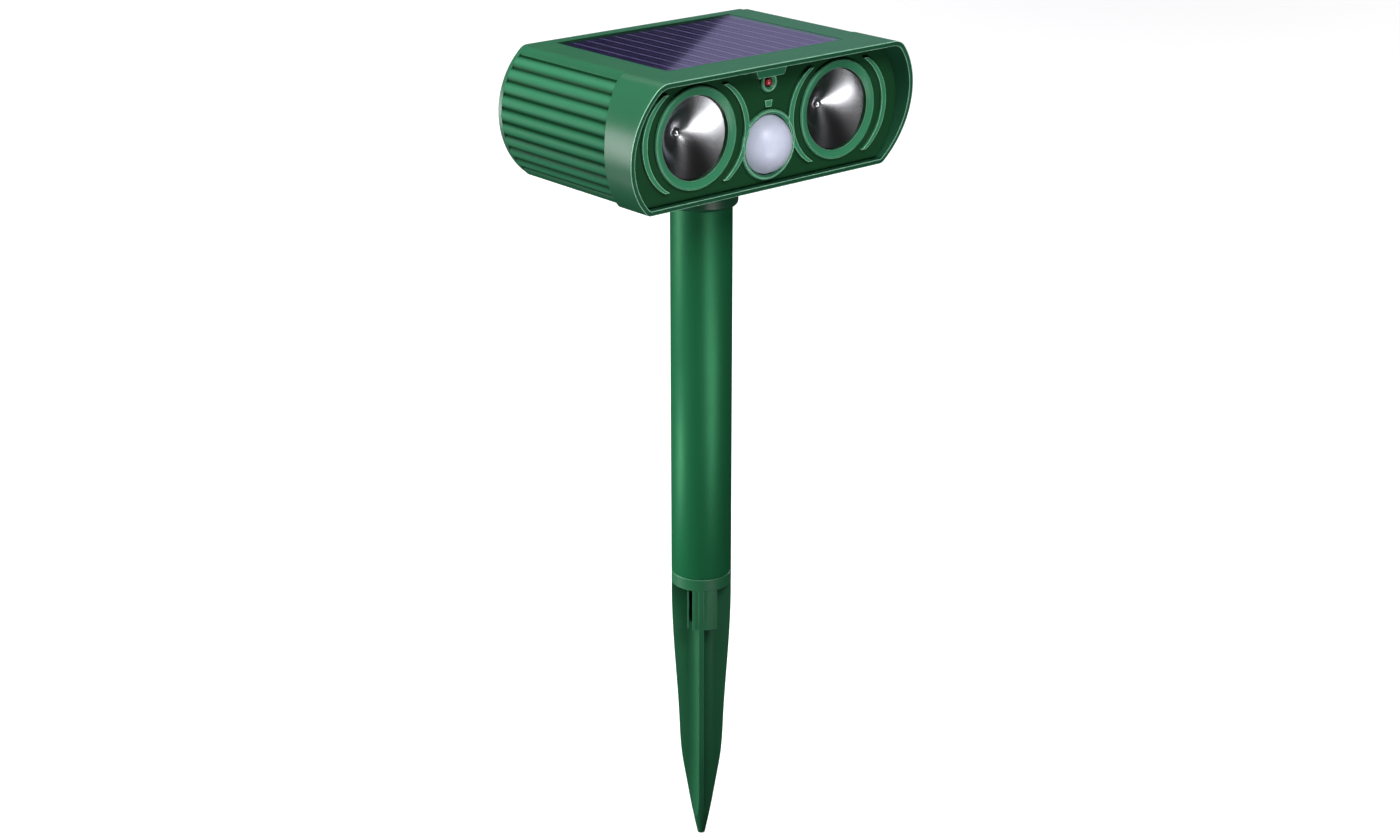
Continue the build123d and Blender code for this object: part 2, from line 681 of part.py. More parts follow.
def rear_cover():
    """Plate closing the back, with a door opening, knob recesses and the flap's lugs."""
    face = outline(REED_INSET + 0.3, 0.0, 5.0, 2.0)
    cover = slab(face, SLEEVE_BACK, BACK_Y)
    edges = cover.edges().group_by(Axis.Y)[-1]
    cover = chamfer(edges, 0.8)
    lip_face = outline(SIDE_INSET + 0.3, WALL + 0.3, 5.7, 1.7)
    lip = slab(lip_face, SLEEVE_BACK - LIP, SLEEVE_BACK + 0.1)
    lip -= slab(outline(SIDE_INSET + 1.9, WALL + 1.9, 4.0, 1.0), SLEEVE_BACK - 3, SLEEVE_BACK)
    for x, z in boss_positions():
        lip -= rod_y(4.6, SLEEVE_BACK - 3, SLEEVE_BACK, x, z)
        lip -= block(x - 2.0, x + 2.0, SLEEVE_BACK - 3, SLEEVE_BACK, z - 6, z + 6)
    cover += lip
    half_z = DOOR_HEIGHT / 2
    gap = 0.3
    cover -= block(
        -DOOR_HALF - gap,
        DOOR_HALF + gap,
        BACK_Y - DOOR_THICK,
        BACK_Y + 1,
        DOOR_Z - half_z - gap,
        DOOR_Z + half_z + gap,
    )
    for x, z in door_screw_positions():
        cover += rod_y(2.7, SLEEVE_BACK - 4, SLEEVE_BACK + 0.1, x, z)
    cover -= block(
        -DOOR_SCREW_X + 3.1,
        DOOR_SCREW_X - 3.1,
        SLEEVE_BACK - 5,
        BACK_Y + 1,
        DOOR_Z - half_z + 2.2,
        DOOR_Z + half_z - 2.2,
    )
    for z in (KNOB_UPPER_Z, KNOB_LOWER_Z):
        cover -= rod_y(KNOB_RADIUS + KNOB_CLEAR, BACK_Y - 1.4, BACK_Y + 1, CONTROL_X, z)
        cover -= rod_y(4.3, SLEEVE_BACK - 3, BACK_Y, CONTROL_X, z)
    cover -= rod_y(BUTTON_RADIUS + RUNNING, SLEEVE_BACK - 3, BACK_Y + 1, -CONTROL_X, KNOB_UPPER_Z)
    z = KNOB_LOWER_Z
    x = -CONTROL_X
    cover -= block(x - 6.3, x + 6.3, BACK_Y - 1.9, BACK_Y + 1, z - 4.3, z + 4.3)
    cover -= block(x - 4.8, x + 4.8, SLEEVE_BACK - 1, BACK_Y, z - 2.2, z + 2.2)
    for side in (-1, 1):
        middle = x + side * 7.3
        lug = rod_x(1.9, middle - 1, middle + 1, FLAP_AXIS_Y, z + 6.4)
        lug += block(middle - 1, middle + 1, BACK_Y - 0.5, FLAP_AXIS_Y, z + 4.5, z + 8.3)
        lug -= rod_x(0.85, x - 9, x + 9, FLAP_AXIS_Y, z + 6.4)
        cover += lug
    for x, z in boss_positions():
        cover -= rod_y(SCREW_RADIUS + 0.3, SLEEVE_BACK - 3, BACK_Y + 1, x, z)
        cover -= rod_y(3.0, BACK_Y - 1.4, BACK_Y + 1, x, z)
    for x, z in door_screw_positions():
        cover -= rod_y(SCREW_RADIUS + RUNNING, SLEEVE_BACK - 5, BACK_Y, x, z)
    return cover


def cross_slot(x, y, z, depth):
    """Cross cut for a screwdriver in a head facing +Y."""
    slot = block(x - 1.3, x + 1.3, y - depth, y + 1, z - 0.3, z + 0.3)
    return slot + block(x - 0.3, x + 0.3, y - depth, y + 1, z - 1.3, z + 1.3)


def cover_screws():
    """Four screws holding the rear cover on the sleeve's bosses."""
    screws = Part()
    for x, z in boss_positions():
        head = rod_y(2.6, BACK_Y - 1.4, BACK_Y - 0.1, x, z)
        head -= cross_slot(x, BACK_Y - 0.1, z, 0.8)
        screws += head + rod_y(SCREW_RADIUS, BACK_Y - 15, BACK_Y - 1.3, x, z)
    return screws


def battery_door():
    """Removable door over the batteries with a finger groove."""
    half_z = DOOR_HEIGHT / 2
    y0 = BACK_Y - DOOR_THICK
    door = block(-DOOR_HALF, DOOR_HALF, y0 + 0.4, BACK_Y, DOOR_Z - half_z, DOOR_Z + half_z)
    for i in range(5):
        z = DOOR_Z - 4 + 2 * i
        door -= rod_x(0.5, -9, 9, BACK_Y + 0.1, z)
    for x, z in door_screw_positions():
        door -= rod_y(SCREW_RADIUS + 0.2, y0 - 1, BACK_Y + 1, x, z)
        door -= rod_y(2.3, BACK_Y - 0.9, BACK_Y + 1, x, z)
    return door


def door_seal():
    """Flat rubber ring under the battery door."""
    half_z = DOOR_HEIGHT / 2
    y0 = BACK_Y - DOOR_THICK
    seal = block(-DOOR_HALF + 0.4, DOOR_HALF - 0.4, y0, y0 + 0.4,
                 DOOR_Z - half_z + 0.4, DOOR_Z + half_z - 0.4)
    seal -= block(-DOOR_SCREW_X + 2.9, DOOR_SCREW_X - 2.9, y0 - 1, y0 + 1,
                  DOOR_Z - half_z + 2.0, DOOR_Z + half_z - 2.0)
    for x, z in door_screw_positions():
        seal -= rod_y(SCREW_RADIUS + 0.2, y0 - 1, y0 + 1, x, z)
    return seal


def door_screws():
    """Four captive screws of the battery door."""
    screws = Part()
    for x, z in door_screw_positions():
        head = rod_y(2.1, BACK_Y - 0.9, BACK_Y - 0.05, x, z)
        head -= cross_slot(x, BACK_Y - 0.05, z, 0.5)
        screws += head + rod_y(SCREW_RADIUS, SLEEVE_BACK - 3.5, BACK_Y - 0.8, x, z)
    return screws


def battery_holder():
    """Open tray behind the door with ends for the contacts and cradles for the cells."""
    half = CELL_LENGTH / 2 + 3.2
    rows = 1.5 * CELL_PITCH + 1.6
    y0 = CELL_Y - CELL_RADIUS - 1.6
    tray = block(-half, half, y0, SLEEVE_BACK, DOOR_Z - rows, DOOR_Z + rows)
    inner = CELL_LENGTH / 2 + 1.8
    floor, wall = 1.4, 1.3
    low, high = DOOR_Z - rows + wall, DOOR_Z + rows - wall
    tray -= block(-inner, inner, y0 + floor, SLEEVE_BACK + 1, low, high)
    for i in (-0.5, 0.5):
        z = DOOR_Z + i * CELL_PITCH
        tray += block(-inner - 0.5, inner + 0.5, y0 + 1, CELL_Y - 3.4, z - 0.6, z + 0.6)
    for i in (-1, 0, 1):
        tray -= rod_x(CELL_RADIUS + 0.1, -inner, inner, CELL_Y, DOOR_Z + i * CELL_PITCH)
    return tray


def battery_cells():
    """Three rechargeable cells side by side."""
    cells = Part()
    for i in (-1, 0, 1):
        turn = -1 if i == 0 else 1
        z = DOOR_Z + i * CELL_PITCH
        half = CELL_LENGTH / 2
        shift = 0.2 * turn
        cells += rod_x(CELL_RADIUS, -half + 0.7 - shift, half - 0.7 - shift, CELL_Y, z)
        nub = turn * (half - 0.5)
        cells += rod_x(1.9, nub - 0.5, nub + 0.5, CELL_Y, z)
    return cells


def battery_contacts():
    """Spring and plate contacts at both ends of the cells."""
    contacts = Part()
    half = CELL_LENGTH / 2
    inner = half + 1.8
    for i in (-1, 0, 1):
        z = DOOR_Z + i * CELL_PITCH
        turn = -1 if i == 0 else 1
        plus = turn * (half + 0.05)
        wall = turn * inner
        contacts += block(min(plus, wall), max(plus, wall), CELL_Y - 3, CELL_Y + 3, z - 3, z + 3)
        minus = -turn * (half - 0.45)
        points = [(2.6, 0), (3.4, 0), (2.4, 2.2), (1.6, 2.2)]
        cup = Plane.XZ * make_face(Polyline(*points, close=True))
        cup = revolve(cup, axis=Axis.Z)
        cup = Rot(0, turn * 90, 0) * cup
        contacts += Pos(-turn * inner, CELL_Y, z) * cup
    return contacts


def main_board():
    """Main circuit board on its standoffs."""
    board = block(-BOARD_HALF, BOARD_HALF, BOARD_FRONT, BOARD_BACK, BOARD_Z, BOARD_Z + BOARD_THICK)
    for x, y in standoff_positions():
        board -= rod_z(PILOT_RADIUS + 0.2, BOARD_Z - 1, BOARD_Z + 3, x, y)
    return board


def main_board_screws():
    """Four screws holding the main board on its standoffs."""
    top = BOARD_Z + BOARD_THICK
    screws = Part()
    for x, y in standoff_positions():
        screws += rod_z(2.3, top, top + 1.4, x, y)
        screws += rod_z(PILOT_RADIUS, BOARD_Z - 8, top, x, y)
    return screws


def controller_chip():
    """Controller in a flat black package."""
    top = BOARD_Z + BOARD_THICK
    chip = block(-5, 5, -2, 4, top + 0.1, top + 1.6)
    for side in (-1, 1):
        for i in range(7):
            x = -4.2 + i * 1.4
            y0, y1 = (3.9, 5.0) if side > 0 else (-3.0, -1.9)
            chip += block(x - 0.2, x + 0.2, y0, y1, top, top + 0.6)
    return chip


def transformers():
    """Two drum coils that step up the loudspeakers' voltage."""
    top = BOARD_Z + BOARD_THICK
    coils = Part()
    for side in (-1, 1):
        x = side * 24
        coils += rod_z(4.5, top, top + 1.2, x, 2) + rod_z(3.4, top + 1.1, top + 7, x, 2)
        coils += rod_z(4.5, top + 6.9, top + 8.1, x, 2)
    return coils


def capacitors():
    """Three standing electrolytic capacitors."""
    top = BOARD_Z + BOARD_THICK
    cans = Part()
    for x, y, r, h in ((-12, 12, 3.15, 9), (0, 13, 3.15, 9), (12, 12, 4.0, 11)):
        cans += rod_z(r, top, top + h, x, y)
    return cans


def control_board(side):
    """Small upright board behind the rear cover carrying the controls on one side."""
    y = CONTROL_Y
    x = side * CONTROL_X
    middle = x - side * 1.25
    return block(middle - 9.75, middle + 9.75, y - 1.2, y, HEAD_MID - 17.5, HEAD_MID + 17.5)


def board_bracket(side):
    """Angle that stands a control board on the floor of the head."""
    y = CONTROL_Y
    x = side * CONTROL_X
    z0 = HEAD_BOTTOM + WALL
    bracket = block(x - 8, x + 8, y - 2.7, y - 1.2, z0, HEAD_MID - 10)
    return bracket + block(x - 8, x + 8, y - 8.2, y - 2, z0, z0 + 1.6)


def pot_body(z):
    """Case and bushing of a rotary control."""
    y = CONTROL_Y
    case = block(CONTROL_X - 5, CONTROL_X + 5, y, y + 5.5, z - 5, z + 5)
    case += rod_y(3.9, y + 5.4, SLEEVE_BACK + 1.2, CONTROL_X, z)
    return case - rod_y(SHAFT_RADIUS + RUNNING, y + 2, SLEEVE_BACK + 2, CONTROL_X, z)


def pot_shaft(z):
    """Turning shaft of a rotary control, with a flat near its end."""
    y = CONTROL_Y
    end = BACK_Y + 3.0
    shaft = rod_y(SHAFT_RADIUS, y + 2, end, CONTROL_X, z)
    flat = block(CONTROL_X - 4, CONTROL_X + 4, BACK_Y - 1.3, end + 1, z + 1.5, z + 4)
    return shaft - flat


def knob(z):
    """Ribbed knob with a pointer line, pushed onto its shaft."""
    y0 = BACK_Y - 1.0
    y1 = y0 + KNOB_HEIGHT
    body = rod_y(KNOB_RADIUS, y0, y1, CONTROL_X, z)
    rim = body.edges().filter_by(GeomType.CIRCLE).group_by(Axis.Y)[-1]
    body = fillet(rim, 0.8)
    for i in range(18):
        angle = radians(20 * i)
        x = CONTROL_X + (KNOB_RADIUS + 0.25) * cos(angle)
        body -= rod_y(0.65, y0 - 1, y1 + 1, x, z + (KNOB_RADIUS + 0.25) * sin(angle))
    body -= block(CONTROL_X - 0.5, CONTROL_X + 0.5, y1 - 0.5, y1 + 1, z + 1.5, z + KNOB_RADIUS + 1)
    bore = rod_y(SHAFT_RADIUS, y0 - 1, BACK_Y + 3.0, CONTROL_X, z)
    flat = block(CONTROL_X - 4, CONTROL_X + 4, y0 - 2, BACK_Y + 4, z + 1.5, z + 4)
    return body - (bore - flat)


def power_button():
    """Round push button with a flange behind the rear cover."""
    x, z = -CONTROL_X, KNOB_UPPER_Z
    button = rod_y(BUTTON_RADIUS, SLEEVE_BACK - 1.5, BACK_Y + 2.0, x, z)
    rim = button.edges().filter_by(GeomType.CIRCLE).group_by(Axis.Y)[-1]
    button = fillet(rim, 0.7)
    button += rod_y(BUTTON_RADIUS + 1.3, SLEEVE_BACK - 1.5, SLEEVE_BACK, x, z)
    button += rod_y(1.5, SLEEVE_BACK - 4.0, SLEEVE_BACK - 1.4, x, z)
    return button


def switch_body():
    """Case of the push switch on its board."""
    y = CONTROL_Y
    x, z = -CONTROL_X, KNOB_UPPER_Z
    case = block(x - 4, x + 4, y, SLEEVE_BACK - 6.5, z - 4, z + 4)
    return case - rod_y(1.5 + RUNNING, y + 1.2, SLEEVE_BACK, x, z)


def switch_plunger():
    """Round plunger of the push switch, against the button's stem."""
    y = CONTROL_Y
    x, z = -CONTROL_X, KNOB_UPPER_Z
    return rod_y(1.5, y + 3.0, SLEEVE_BACK - 4.0, x, z)


def usb_socket():
    """Charging socket, a metal shell round a flat tongue."""
    y = CONTROL_Y
    x, z = -CONTROL_X, KNOB_LOWER_Z
    shell = block(x - 4.5, x + 4.5, y, SLEEVE_BACK + 1.0, z - 1.9, z + 1.9)
    shell -= block(x - 4.0, x + 4.0, y + 4, SLEEVE_BACK + 2, z - 1.4, z + 1.4)
    return shell + block(x - 3.2, x + 3.2, y + 3.9, SLEEVE_BACK - 0.5, z - 0.4, z + 0.4)


def usb_cover():
    """Rubber flap over the charging socket, turning on a pin moulded across its top."""
    x, z = -CONTROL_X, KNOB_LOWER_Z
    y = BACK_Y + 0.1
    flap = block(x - 5.8, x + 5.8, y, y + 1.6, z - 6.2, z + 6.0)
    flap += rod_x(1.4, x - 5.8, x + 5.8, FLAP_AXIS_Y, z + 6.4)
    flap += rod_x(0.8, x - 8.3, x + 8.3, FLAP_AXIS_Y, z + 6.4)
    flap += block(x - 5.6, x + 5.6, BACK_Y - 1.2, y + 0.1, z - 3.6, z + 3.4)
    flap += block(x - 1.6, x + 1.6, y, y + 2.4, z - 6.2, z - 4.8)
    return flap


def lead(points):
    """Insulated wire along a path with rounded bends."""
    path = FilletPolyline(*points, radius=LEAD_BEND)
    end = Plane(origin=points[0], z_dir=path % 0)
    return sweep(end * Circle(LEAD_RADIUS), path=path)


def power_leads():
    """Two wires from the solar board and two from the battery tray to the main board."""
    top = solar_base()
    low = BOARD_Z + BOARD_THICK
    wires = Part()
    for x in (-6, -3.5):
        points = [(x, -8, top), (x, -8, top - 8), (x, -12, top - 8), (x, -12, low)]
        wires += lead(points)
    y0 = CELL_Y - CELL_RADIUS - 1.6
    for x in (-22, -19.5):
        points = [(x, y0, low + 7), (x, y0 - 6.5, low + 7), (x, y0 - 6.5, low)]
        wires += lead(points)
    return wires


def speaker_leads(side):
    """Two wires from a driver's cap to the edge of the main board."""
    start = DRIVER_BACK + CAP_DEPTH
    top = BOARD_Z + BOARD_THICK
    wires = Part()
    for i in (0, 1):
        x = side * (SPEAKER_X - 2 + 3.0 * i)
        z = SPEAKER_Z + 6
        end = BOARD_FRONT + 5
        points = [(x, start, z), (x, end, z), (x, end, top)]
        wires += lead(points)
    return wires


PARTS = {
    "body_shell": body_shell,
    "front_panel": front_panel,
    "speaker_cone_left": lambda: speaker_cone(-1),
    "speaker_cone_right": lambda: speaker_cone(1),
    "speaker_dome_left": lambda: speaker_dome(-1),
    "speaker_dome_right": lambda: speaker_dome(1),
    "speaker_frame_left": lambda: speaker_frame(-1),
    "speaker_frame_right": lambda: speaker_frame(1),
    "speaker_gasket_left": lambda: speaker_gasket(-1),
    "speaker_gasket_right": lambda: speaker_gasket(1),
    "piezo_disc_left": lambda: piezo_disc(-1),
    "piezo_disc_right": lambda: piezo_disc(1),
    "speaker_cap_left": lambda: speaker_cap(-1),
    "speaker_cap_right": lambda: speaker_cap(1),
    "sensor_lens": sensor_lens,
    "lens_clip": lens_clip,
    "sensor_board": sensor_board,
    "sensor_can": sensor_can,
    "sensor_window": sensor_window,
    "sensor_board_screws": board_screws,
    "lamp": lamp,
    "lamp_board": lamp_holder,
    "solar_board": solar_board,
    "solar_cells": solar_cells,
    "solar_cover": solar_cover,
    "pole_socket": pole_socket,
    "socket_screws": socket_screws,
    "pole": pole,
    "stake": stake,
    "rear_cover": rear_cover,
    "cover_screws": cover_screws,
    "battery_door": battery_door,
    "door_seal": door_seal,
    "door_screws": door_screws,
    "battery_holder": battery_holder,
    "battery_cells": battery_cells,
    "battery_contacts": battery_contacts,
    "main_board": main_board,
    "main_board_screws": main_board_screws,
    "controller_chip": controller_chip,
    "transformers": transformers,
    "capacitors": capacitors,
    "control_board_left": lambda: control_board(-1),
    "control_board_right": lambda: control_board(1),
    "board_bracket_left": lambda: board_bracket(-1),
    "board_bracket_right": lambda: board_bracket(1),
    "frequency_pot": lambda: pot_body(KNOB_UPPER_Z),
    "frequency_shaft": lambda: pot_shaft(KNOB_UPPER_Z),
    "frequency_knob": lambda: knob(KNOB_UPPER_Z),
    "sensitivity_pot": lambda: pot_body(KNOB_LOWER_Z),
    "sensitivity_shaft": lambda: pot_shaft(KNOB_LOWER_Z),
    "sensitivity_knob": lambda: knob(KNOB_LOWER_Z),
    "power_button": power_button,
    "switch_body": switch_body,
    "switch_plunger": switch_plunger,
    "usb_socket": usb_socket,
    "usb_cover": usb_cover,
    "power_leads": power_leads,
    "speaker_leads_left": lambda: speaker_leads(-1),
    "speaker_leads_right": lambda: speaker_leads(1),
}

os.makedirs("parts", exist_ok=True)
for name, make in PARTS.items():
    export_step(make(), "parts/" + name + ".step")
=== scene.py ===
"""Looks of a garden pest repeller: finishes, fine pieces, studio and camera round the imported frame.

Lengths are in metres, and MM turns millimetres into them. The head looks along -Y, and Z is up.
"""

import math

import bmesh
import bpy
from bpy.props import FloatProperty, FloatVectorProperty, IntProperty, PointerProperty
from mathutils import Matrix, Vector


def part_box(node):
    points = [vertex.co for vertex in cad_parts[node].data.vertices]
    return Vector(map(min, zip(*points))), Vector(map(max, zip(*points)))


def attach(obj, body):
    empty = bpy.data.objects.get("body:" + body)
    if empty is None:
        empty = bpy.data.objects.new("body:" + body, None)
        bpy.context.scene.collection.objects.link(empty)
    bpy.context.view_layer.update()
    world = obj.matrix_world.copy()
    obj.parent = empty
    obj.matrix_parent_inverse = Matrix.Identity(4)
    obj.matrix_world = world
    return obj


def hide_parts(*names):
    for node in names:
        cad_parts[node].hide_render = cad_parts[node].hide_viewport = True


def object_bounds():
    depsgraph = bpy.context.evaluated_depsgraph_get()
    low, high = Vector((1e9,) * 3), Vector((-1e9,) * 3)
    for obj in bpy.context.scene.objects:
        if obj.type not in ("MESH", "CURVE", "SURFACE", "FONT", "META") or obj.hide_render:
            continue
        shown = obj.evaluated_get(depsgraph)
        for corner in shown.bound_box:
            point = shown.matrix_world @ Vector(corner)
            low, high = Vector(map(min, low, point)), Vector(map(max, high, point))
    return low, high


bl_info = {
    "name": "Garden Pest Repeller",
    "version": (1, 0, 0),
    "blender": (4, 5, 0),
    "location": "3D View > Sidebar > Repeller",
    "description": "Dresses the packed pest repeller and sets its studio",
    "category": "Object",
}

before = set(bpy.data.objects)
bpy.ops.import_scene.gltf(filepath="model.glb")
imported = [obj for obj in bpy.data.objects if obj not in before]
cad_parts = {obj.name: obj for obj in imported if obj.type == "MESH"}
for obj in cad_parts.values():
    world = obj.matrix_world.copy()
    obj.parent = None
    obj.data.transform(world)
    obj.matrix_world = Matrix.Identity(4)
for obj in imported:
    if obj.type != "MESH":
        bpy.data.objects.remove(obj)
CAD_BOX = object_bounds()
GROUND = CAD_BOX[0][2]
MM = 0.001

# Front panel: where its floor lies along Y, and where the painted light on its trim starts
# and is full: the trim is coloured lighter where it stands out, as light would catch it.
PANEL_FLOOR = -38.8 * MM
TRIM_START = PANEL_FLOOR - 0.15 * MM
TRIM_FULL = PANEL_FLOOR - 0.9 * MM

# Rounded sides of the head, the reeds sunk into them, and the gloss beside and in the reeds.
SHELL_LOW, SHELL_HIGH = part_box("body_shell")
HEAD_LEVEL = (SHELL_LOW.z + SHELL_HIGH.z) / 2
HEAD_HALF = (SHELL_HIGH.z - SHELL_LOW.z) / 2
SIDE_BULGE = 11.5 * MM
SIDE_RADIUS = (HEAD_HALF**2 + SIDE_BULGE**2) / (2 * SIDE_BULGE)
SIDE_CENTRE = SHELL_HIGH.x - SIDE_RADIUS
REED_HALF_ANGLE = math.radians(45.5)
REED_SUNK = 1.0 * MM
# Radii between which the reeds' colour goes from painted shade in their creases to painted light on
# their crests.
CREASE_RADIUS = SIDE_RADIUS - 2.95 * MM
CREST_RADIUS = SIDE_RADIUS - 2.23 * MM
SHELL_GLOSS = 0.17
REED_GLOSS = 0.01

# Cosine between a rounded edge and its face where the painted edge highlight starts and where it is
# full.
EDGE_START = 0.98
EDGE_FULL = 0.88

# Strips of the solar panel, side by side along X, and what its clear sheet is lifted off them.
CELLS_LOW, CELLS_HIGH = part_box("solar_cells")
CELL_GAP = 0.7 * MM
CELL_STRIPS = 13
CELL_START = CELLS_LOW.x - CELL_GAP / 2
CELL_PITCH = (CELLS_HIGH.x - CELLS_LOW.x + CELL_GAP) / CELL_STRIPS
SHEET_LIFT = 0.03 * MM

# Loudspeaker cones with a rolled rim, and the ring and ball at each tip. Heights rise from the
# tip to the mouth, and the ring's section is a list of radius and height.
CONE_WALL = 0.9 * MM
APEX_RADIUS = 1.2 * MM
ROLL = 0.5 * MM
ROLL_DROP = ROLL * 0.6
TIP_RING = [
    (1.3 * MM, 1.0 * MM),
    (1.8 * MM, 1.32 * MM),
    (1.75 * MM, 1.55 * MM),
    (1.35 * MM, 1.35 * MM),
]
BALL_RADIUS = 1.35 * MM
BALL_HEIGHT = 1.35 * MM
BALL_ARCS = 16
MERGE_DISTANCE = 0.0001 * MM
SMOOTH_ANGLE = math.radians(35)

# Camera, the floor under the object and the room round it.
CAMERA_PLACE = (-0.5865, -0.6833, 0.4161)
CAMERA_DIRECTION = (0.60797, 0.70919, -0.35696)
LENS_MM = 59.3
SENSOR_MM = 36
FLOOR_HALF = 6.0
WORLD_COLOUR = (0.02, 0.02, 0.02)
WALL_COLOUR = (0.86, 0.86, 0.86)

# Card mirrored in the solar panel: how many times further out than the panel it lies, how far
# it runs past the panel's corners, its width and its glow.
CARD_REACH = 3.0
CARD_MARGIN = 0.3
CARD_WIDTH = 0.5
CARD_GLOW = 0.6

# Soft lights: name, place, target, width, height, watts, and whether gloss mirrors them.
HEAD_MIDDLE = (0.0, 0.0, 0.17)
SOFTBOXES = [
    ("softbox_top", (-0.75, 0.45, 1.45), HEAD_MIDDLE, 2.2, 2.2, 72, False),
    ("softbox_back", (1.0, 1.4, 2.0), (1.0, 1.4, 0), 1.5, 1.5, 18, True),
    ("softbox_right", (1.3, 0.35, 0.55), HEAD_MIDDLE, 0.7, 0.7, 9, True),
    ("softbox_front", (-0.25, -0.8, 0.9), HEAD_MIDDLE, 0.4, 0.4, 7, True),
    ("softbox_side", (-0.52, 0.42, 0.13), HEAD_MIDDLE, 0.4, 0.24, 3.6, True),
]

# Soft lights just over the ground: name, way towards the camera, way to its right, width, depth
# and watts.
GROUND_CARDS = [
    ("card_front", 0.6, 0.38, 0.35, 0.6, 4.8),
    ("card_side", 0.04, -0.45, 0.14, 0.16, 0.9),
    ("card_far", -0.02, -0.93, 0.3, 0.3, 3),
]
CARD_LIFT = 0.01


def linear(code):
    """Turns an sRGB hex colour into linear red, green and blue."""
    values = [int(code[i : i + 2], 16) / 255 for i in (1, 3, 5)]
    return tuple(v / 12.92 if v <= 0.04045 else ((v + 0.055) / 1.055) ** 2.4 for v in values)


def colour(name, description, code):
    """Colour setting whose default is an sRGB hex value."""
    return FloatVectorProperty(
        name=name,
        description=description,
        subtype="COLOR",
        size=3,
        min=0,
        max=1,
        default=linear(code),
    )


def millimetres(name, description, value):
    """Size setting given in millimetres and kept in metres."""
    return FloatProperty(
        name=name,
        description=description,
        default=value * MM,
        min=0,
        subtype="DISTANCE",
        unit="LENGTH",
        precision=5,
    )


class RepellerColours(bpy.types.PropertyGroup):
    body: colour("Body", "Moulded shell, rear cover and pole socket", "#1f5037")
    panel: colour("Front panel", "Recessed plate behind the rim", "#1a4529")
    # Painted light: the panel's trim is coloured lighter where it stands out, as light would catch
    # it.
    trim_light: colour("Raised trim", "Tops of the panel's rings and crescents", "#3a8560")
    # Painted shade for the reeds' creases and painted light for their crests, set by how light falls
    # on the reeds.
    crease_shade: colour("Creases", "Bottoms of the reeded sides' creases", "#072a17")
    crest_light: colour("Crests", "Crests of the reeded sides", "#2c6247")
    # Painted highlight along the sharp edges of the rim, the panel's trim and the stake.
    edges: colour("Edges", "Highlighted edges of the rim and the trim", "#b4f0cf")
    pole: colour("Pole", "Glossy extruded tube", "#1d6540")
    stake: colour("Stake", "Moulded ground stake", "#266242")
    metal: colour("Cone metal", "Spun and turned loudspeaker cones", "#b4b4b8")
    lens: colour("Sensor lens", "Milky lens of the motion sensor", "#d8dcf4")
    lamp: colour("Lamp", "Tinted epoxy of the indicator", "#c8283c")
    cells: colour("Solar cells", "Dark coated silicon", "#110a30")
    gaps: colour("Cell gaps", "Backing sheet and contacts between the cells", "#675d80")
    soft: colour("Rubber", "Button, flap, seal and the rings at the cones' tips", "#1b1c1d")
    dark: colour("Dark plastic", "Knobs and inner mouldings", "#202223")


class RepellerSizes(bpy.types.PropertyGroup):
    grain: millimetres("Moulding grain", "Width of one grain of the spark-eroded texture", 0.35)
    edge: millimetres("Edge rounding", "Radius that moulded edges are rounded to", 0.35)
    # Width of the painted highlight along sharp edges.
    edge_highlight_width: millimetres("Edge line", "Width of the highlighted stretch along sharp edges", 0.6)
    contact: millimetres("Cell contact", "From the middle of a gap to the silver's edge", 0.4)
    groove: millimetres("Turning groove", "Distance between the cones' turning marks", 0.12)
    lenslet: millimetres("Lenslet", "Width of one facet inside the sensor lens", 3.4)
    cone_steps: IntProperty(
        name="Cone segments",
        description="Segments round a loudspeaker cone",
        default=128,
        min=24,
        max=512,
    )
    ball_steps: IntProperty(
        name="Ball segments",
        description="Segments round the ball at a cone's tip",
        default=32,
        min=12,
        max=128,
    )


def fill(tree, node, links):
    """Fills a node's inputs with values, with outputs, or with other nodes' first outputs."""
    for socket, value in links.items():
        if isinstance(value, bpy.types.Node):
            value = value.outputs[0]
        if isinstance(value, bpy.types.NodeSocket):
            tree.links.new(value, node.inputs[socket])
        else:
            node.inputs[socket].default_value = value


def add(tree, kind, links=None, **settings):
    """Adds a node with its settings, and fills its inputs."""
    node = tree.nodes.new(kind)
    for name, value in settings.items():
        setattr(node, name, value)
    fill(tree, node, links or {})
    return node


def empty_tree(owner):
    """Node tree of a new material or world, with nothing in it yet."""
    owner.use_nodes = True
    owner.node_tree.nodes.clear()
    return owner.node_tree


def start_material(name, values):
    """New material with one surface shader, whose plain values are set on its own sockets."""
    made = bpy.data.materials.new(name)
    tree = empty_tree(made)
    shader = add(tree, "ShaderNodeBsdfPrincipled", values)
    add(tree, "ShaderNodeOutputMaterial", {"Surface": shader})
    return made, tree, shader


def places(tree):
    """Position on the object in metres, the same at every pose."""
    return add(tree, "ShaderNodeTexCoord").outputs["Object"]


def rounded_grain(tree, shader, edge, grain, depth):
    """Moulding grain as bump over edges rounded to a small radius."""
    links = {"Vector": places(tree), "Scale": 1 / grain, "Detail": 3.0, "Roughness": 0.6}
    noise = add(tree, "ShaderNodeTexNoise", links)
    corner = add(tree, "ShaderNodeBevel", {"Radius": edge}, samples=4)
    links = {"Height": noise, "Distance": depth, "Strength": 1.0, "Normal": corner}
    fill(tree, shader, {"Normal": add(tree, "ShaderNodeBump", links)})


def tone(tree, base, spread, width):
    """Colour that wanders a little over a stretch of the surface, as a moulding's does."""
    links = {"Vector": places(tree), "Scale": 1 / width, "Detail": 2.0}
    noise = add(tree, "ShaderNodeTexNoise", links)
    low = (*[v * (1 - spread) for v in base], 1)
    high = (*[min(v * (1 + spread), 1) for v in base], 1)
    links = {"Factor": noise, 6: low, 7: high}
    return add(tree, "ShaderNodeMix", links, data_type="RGBA").outputs[2]


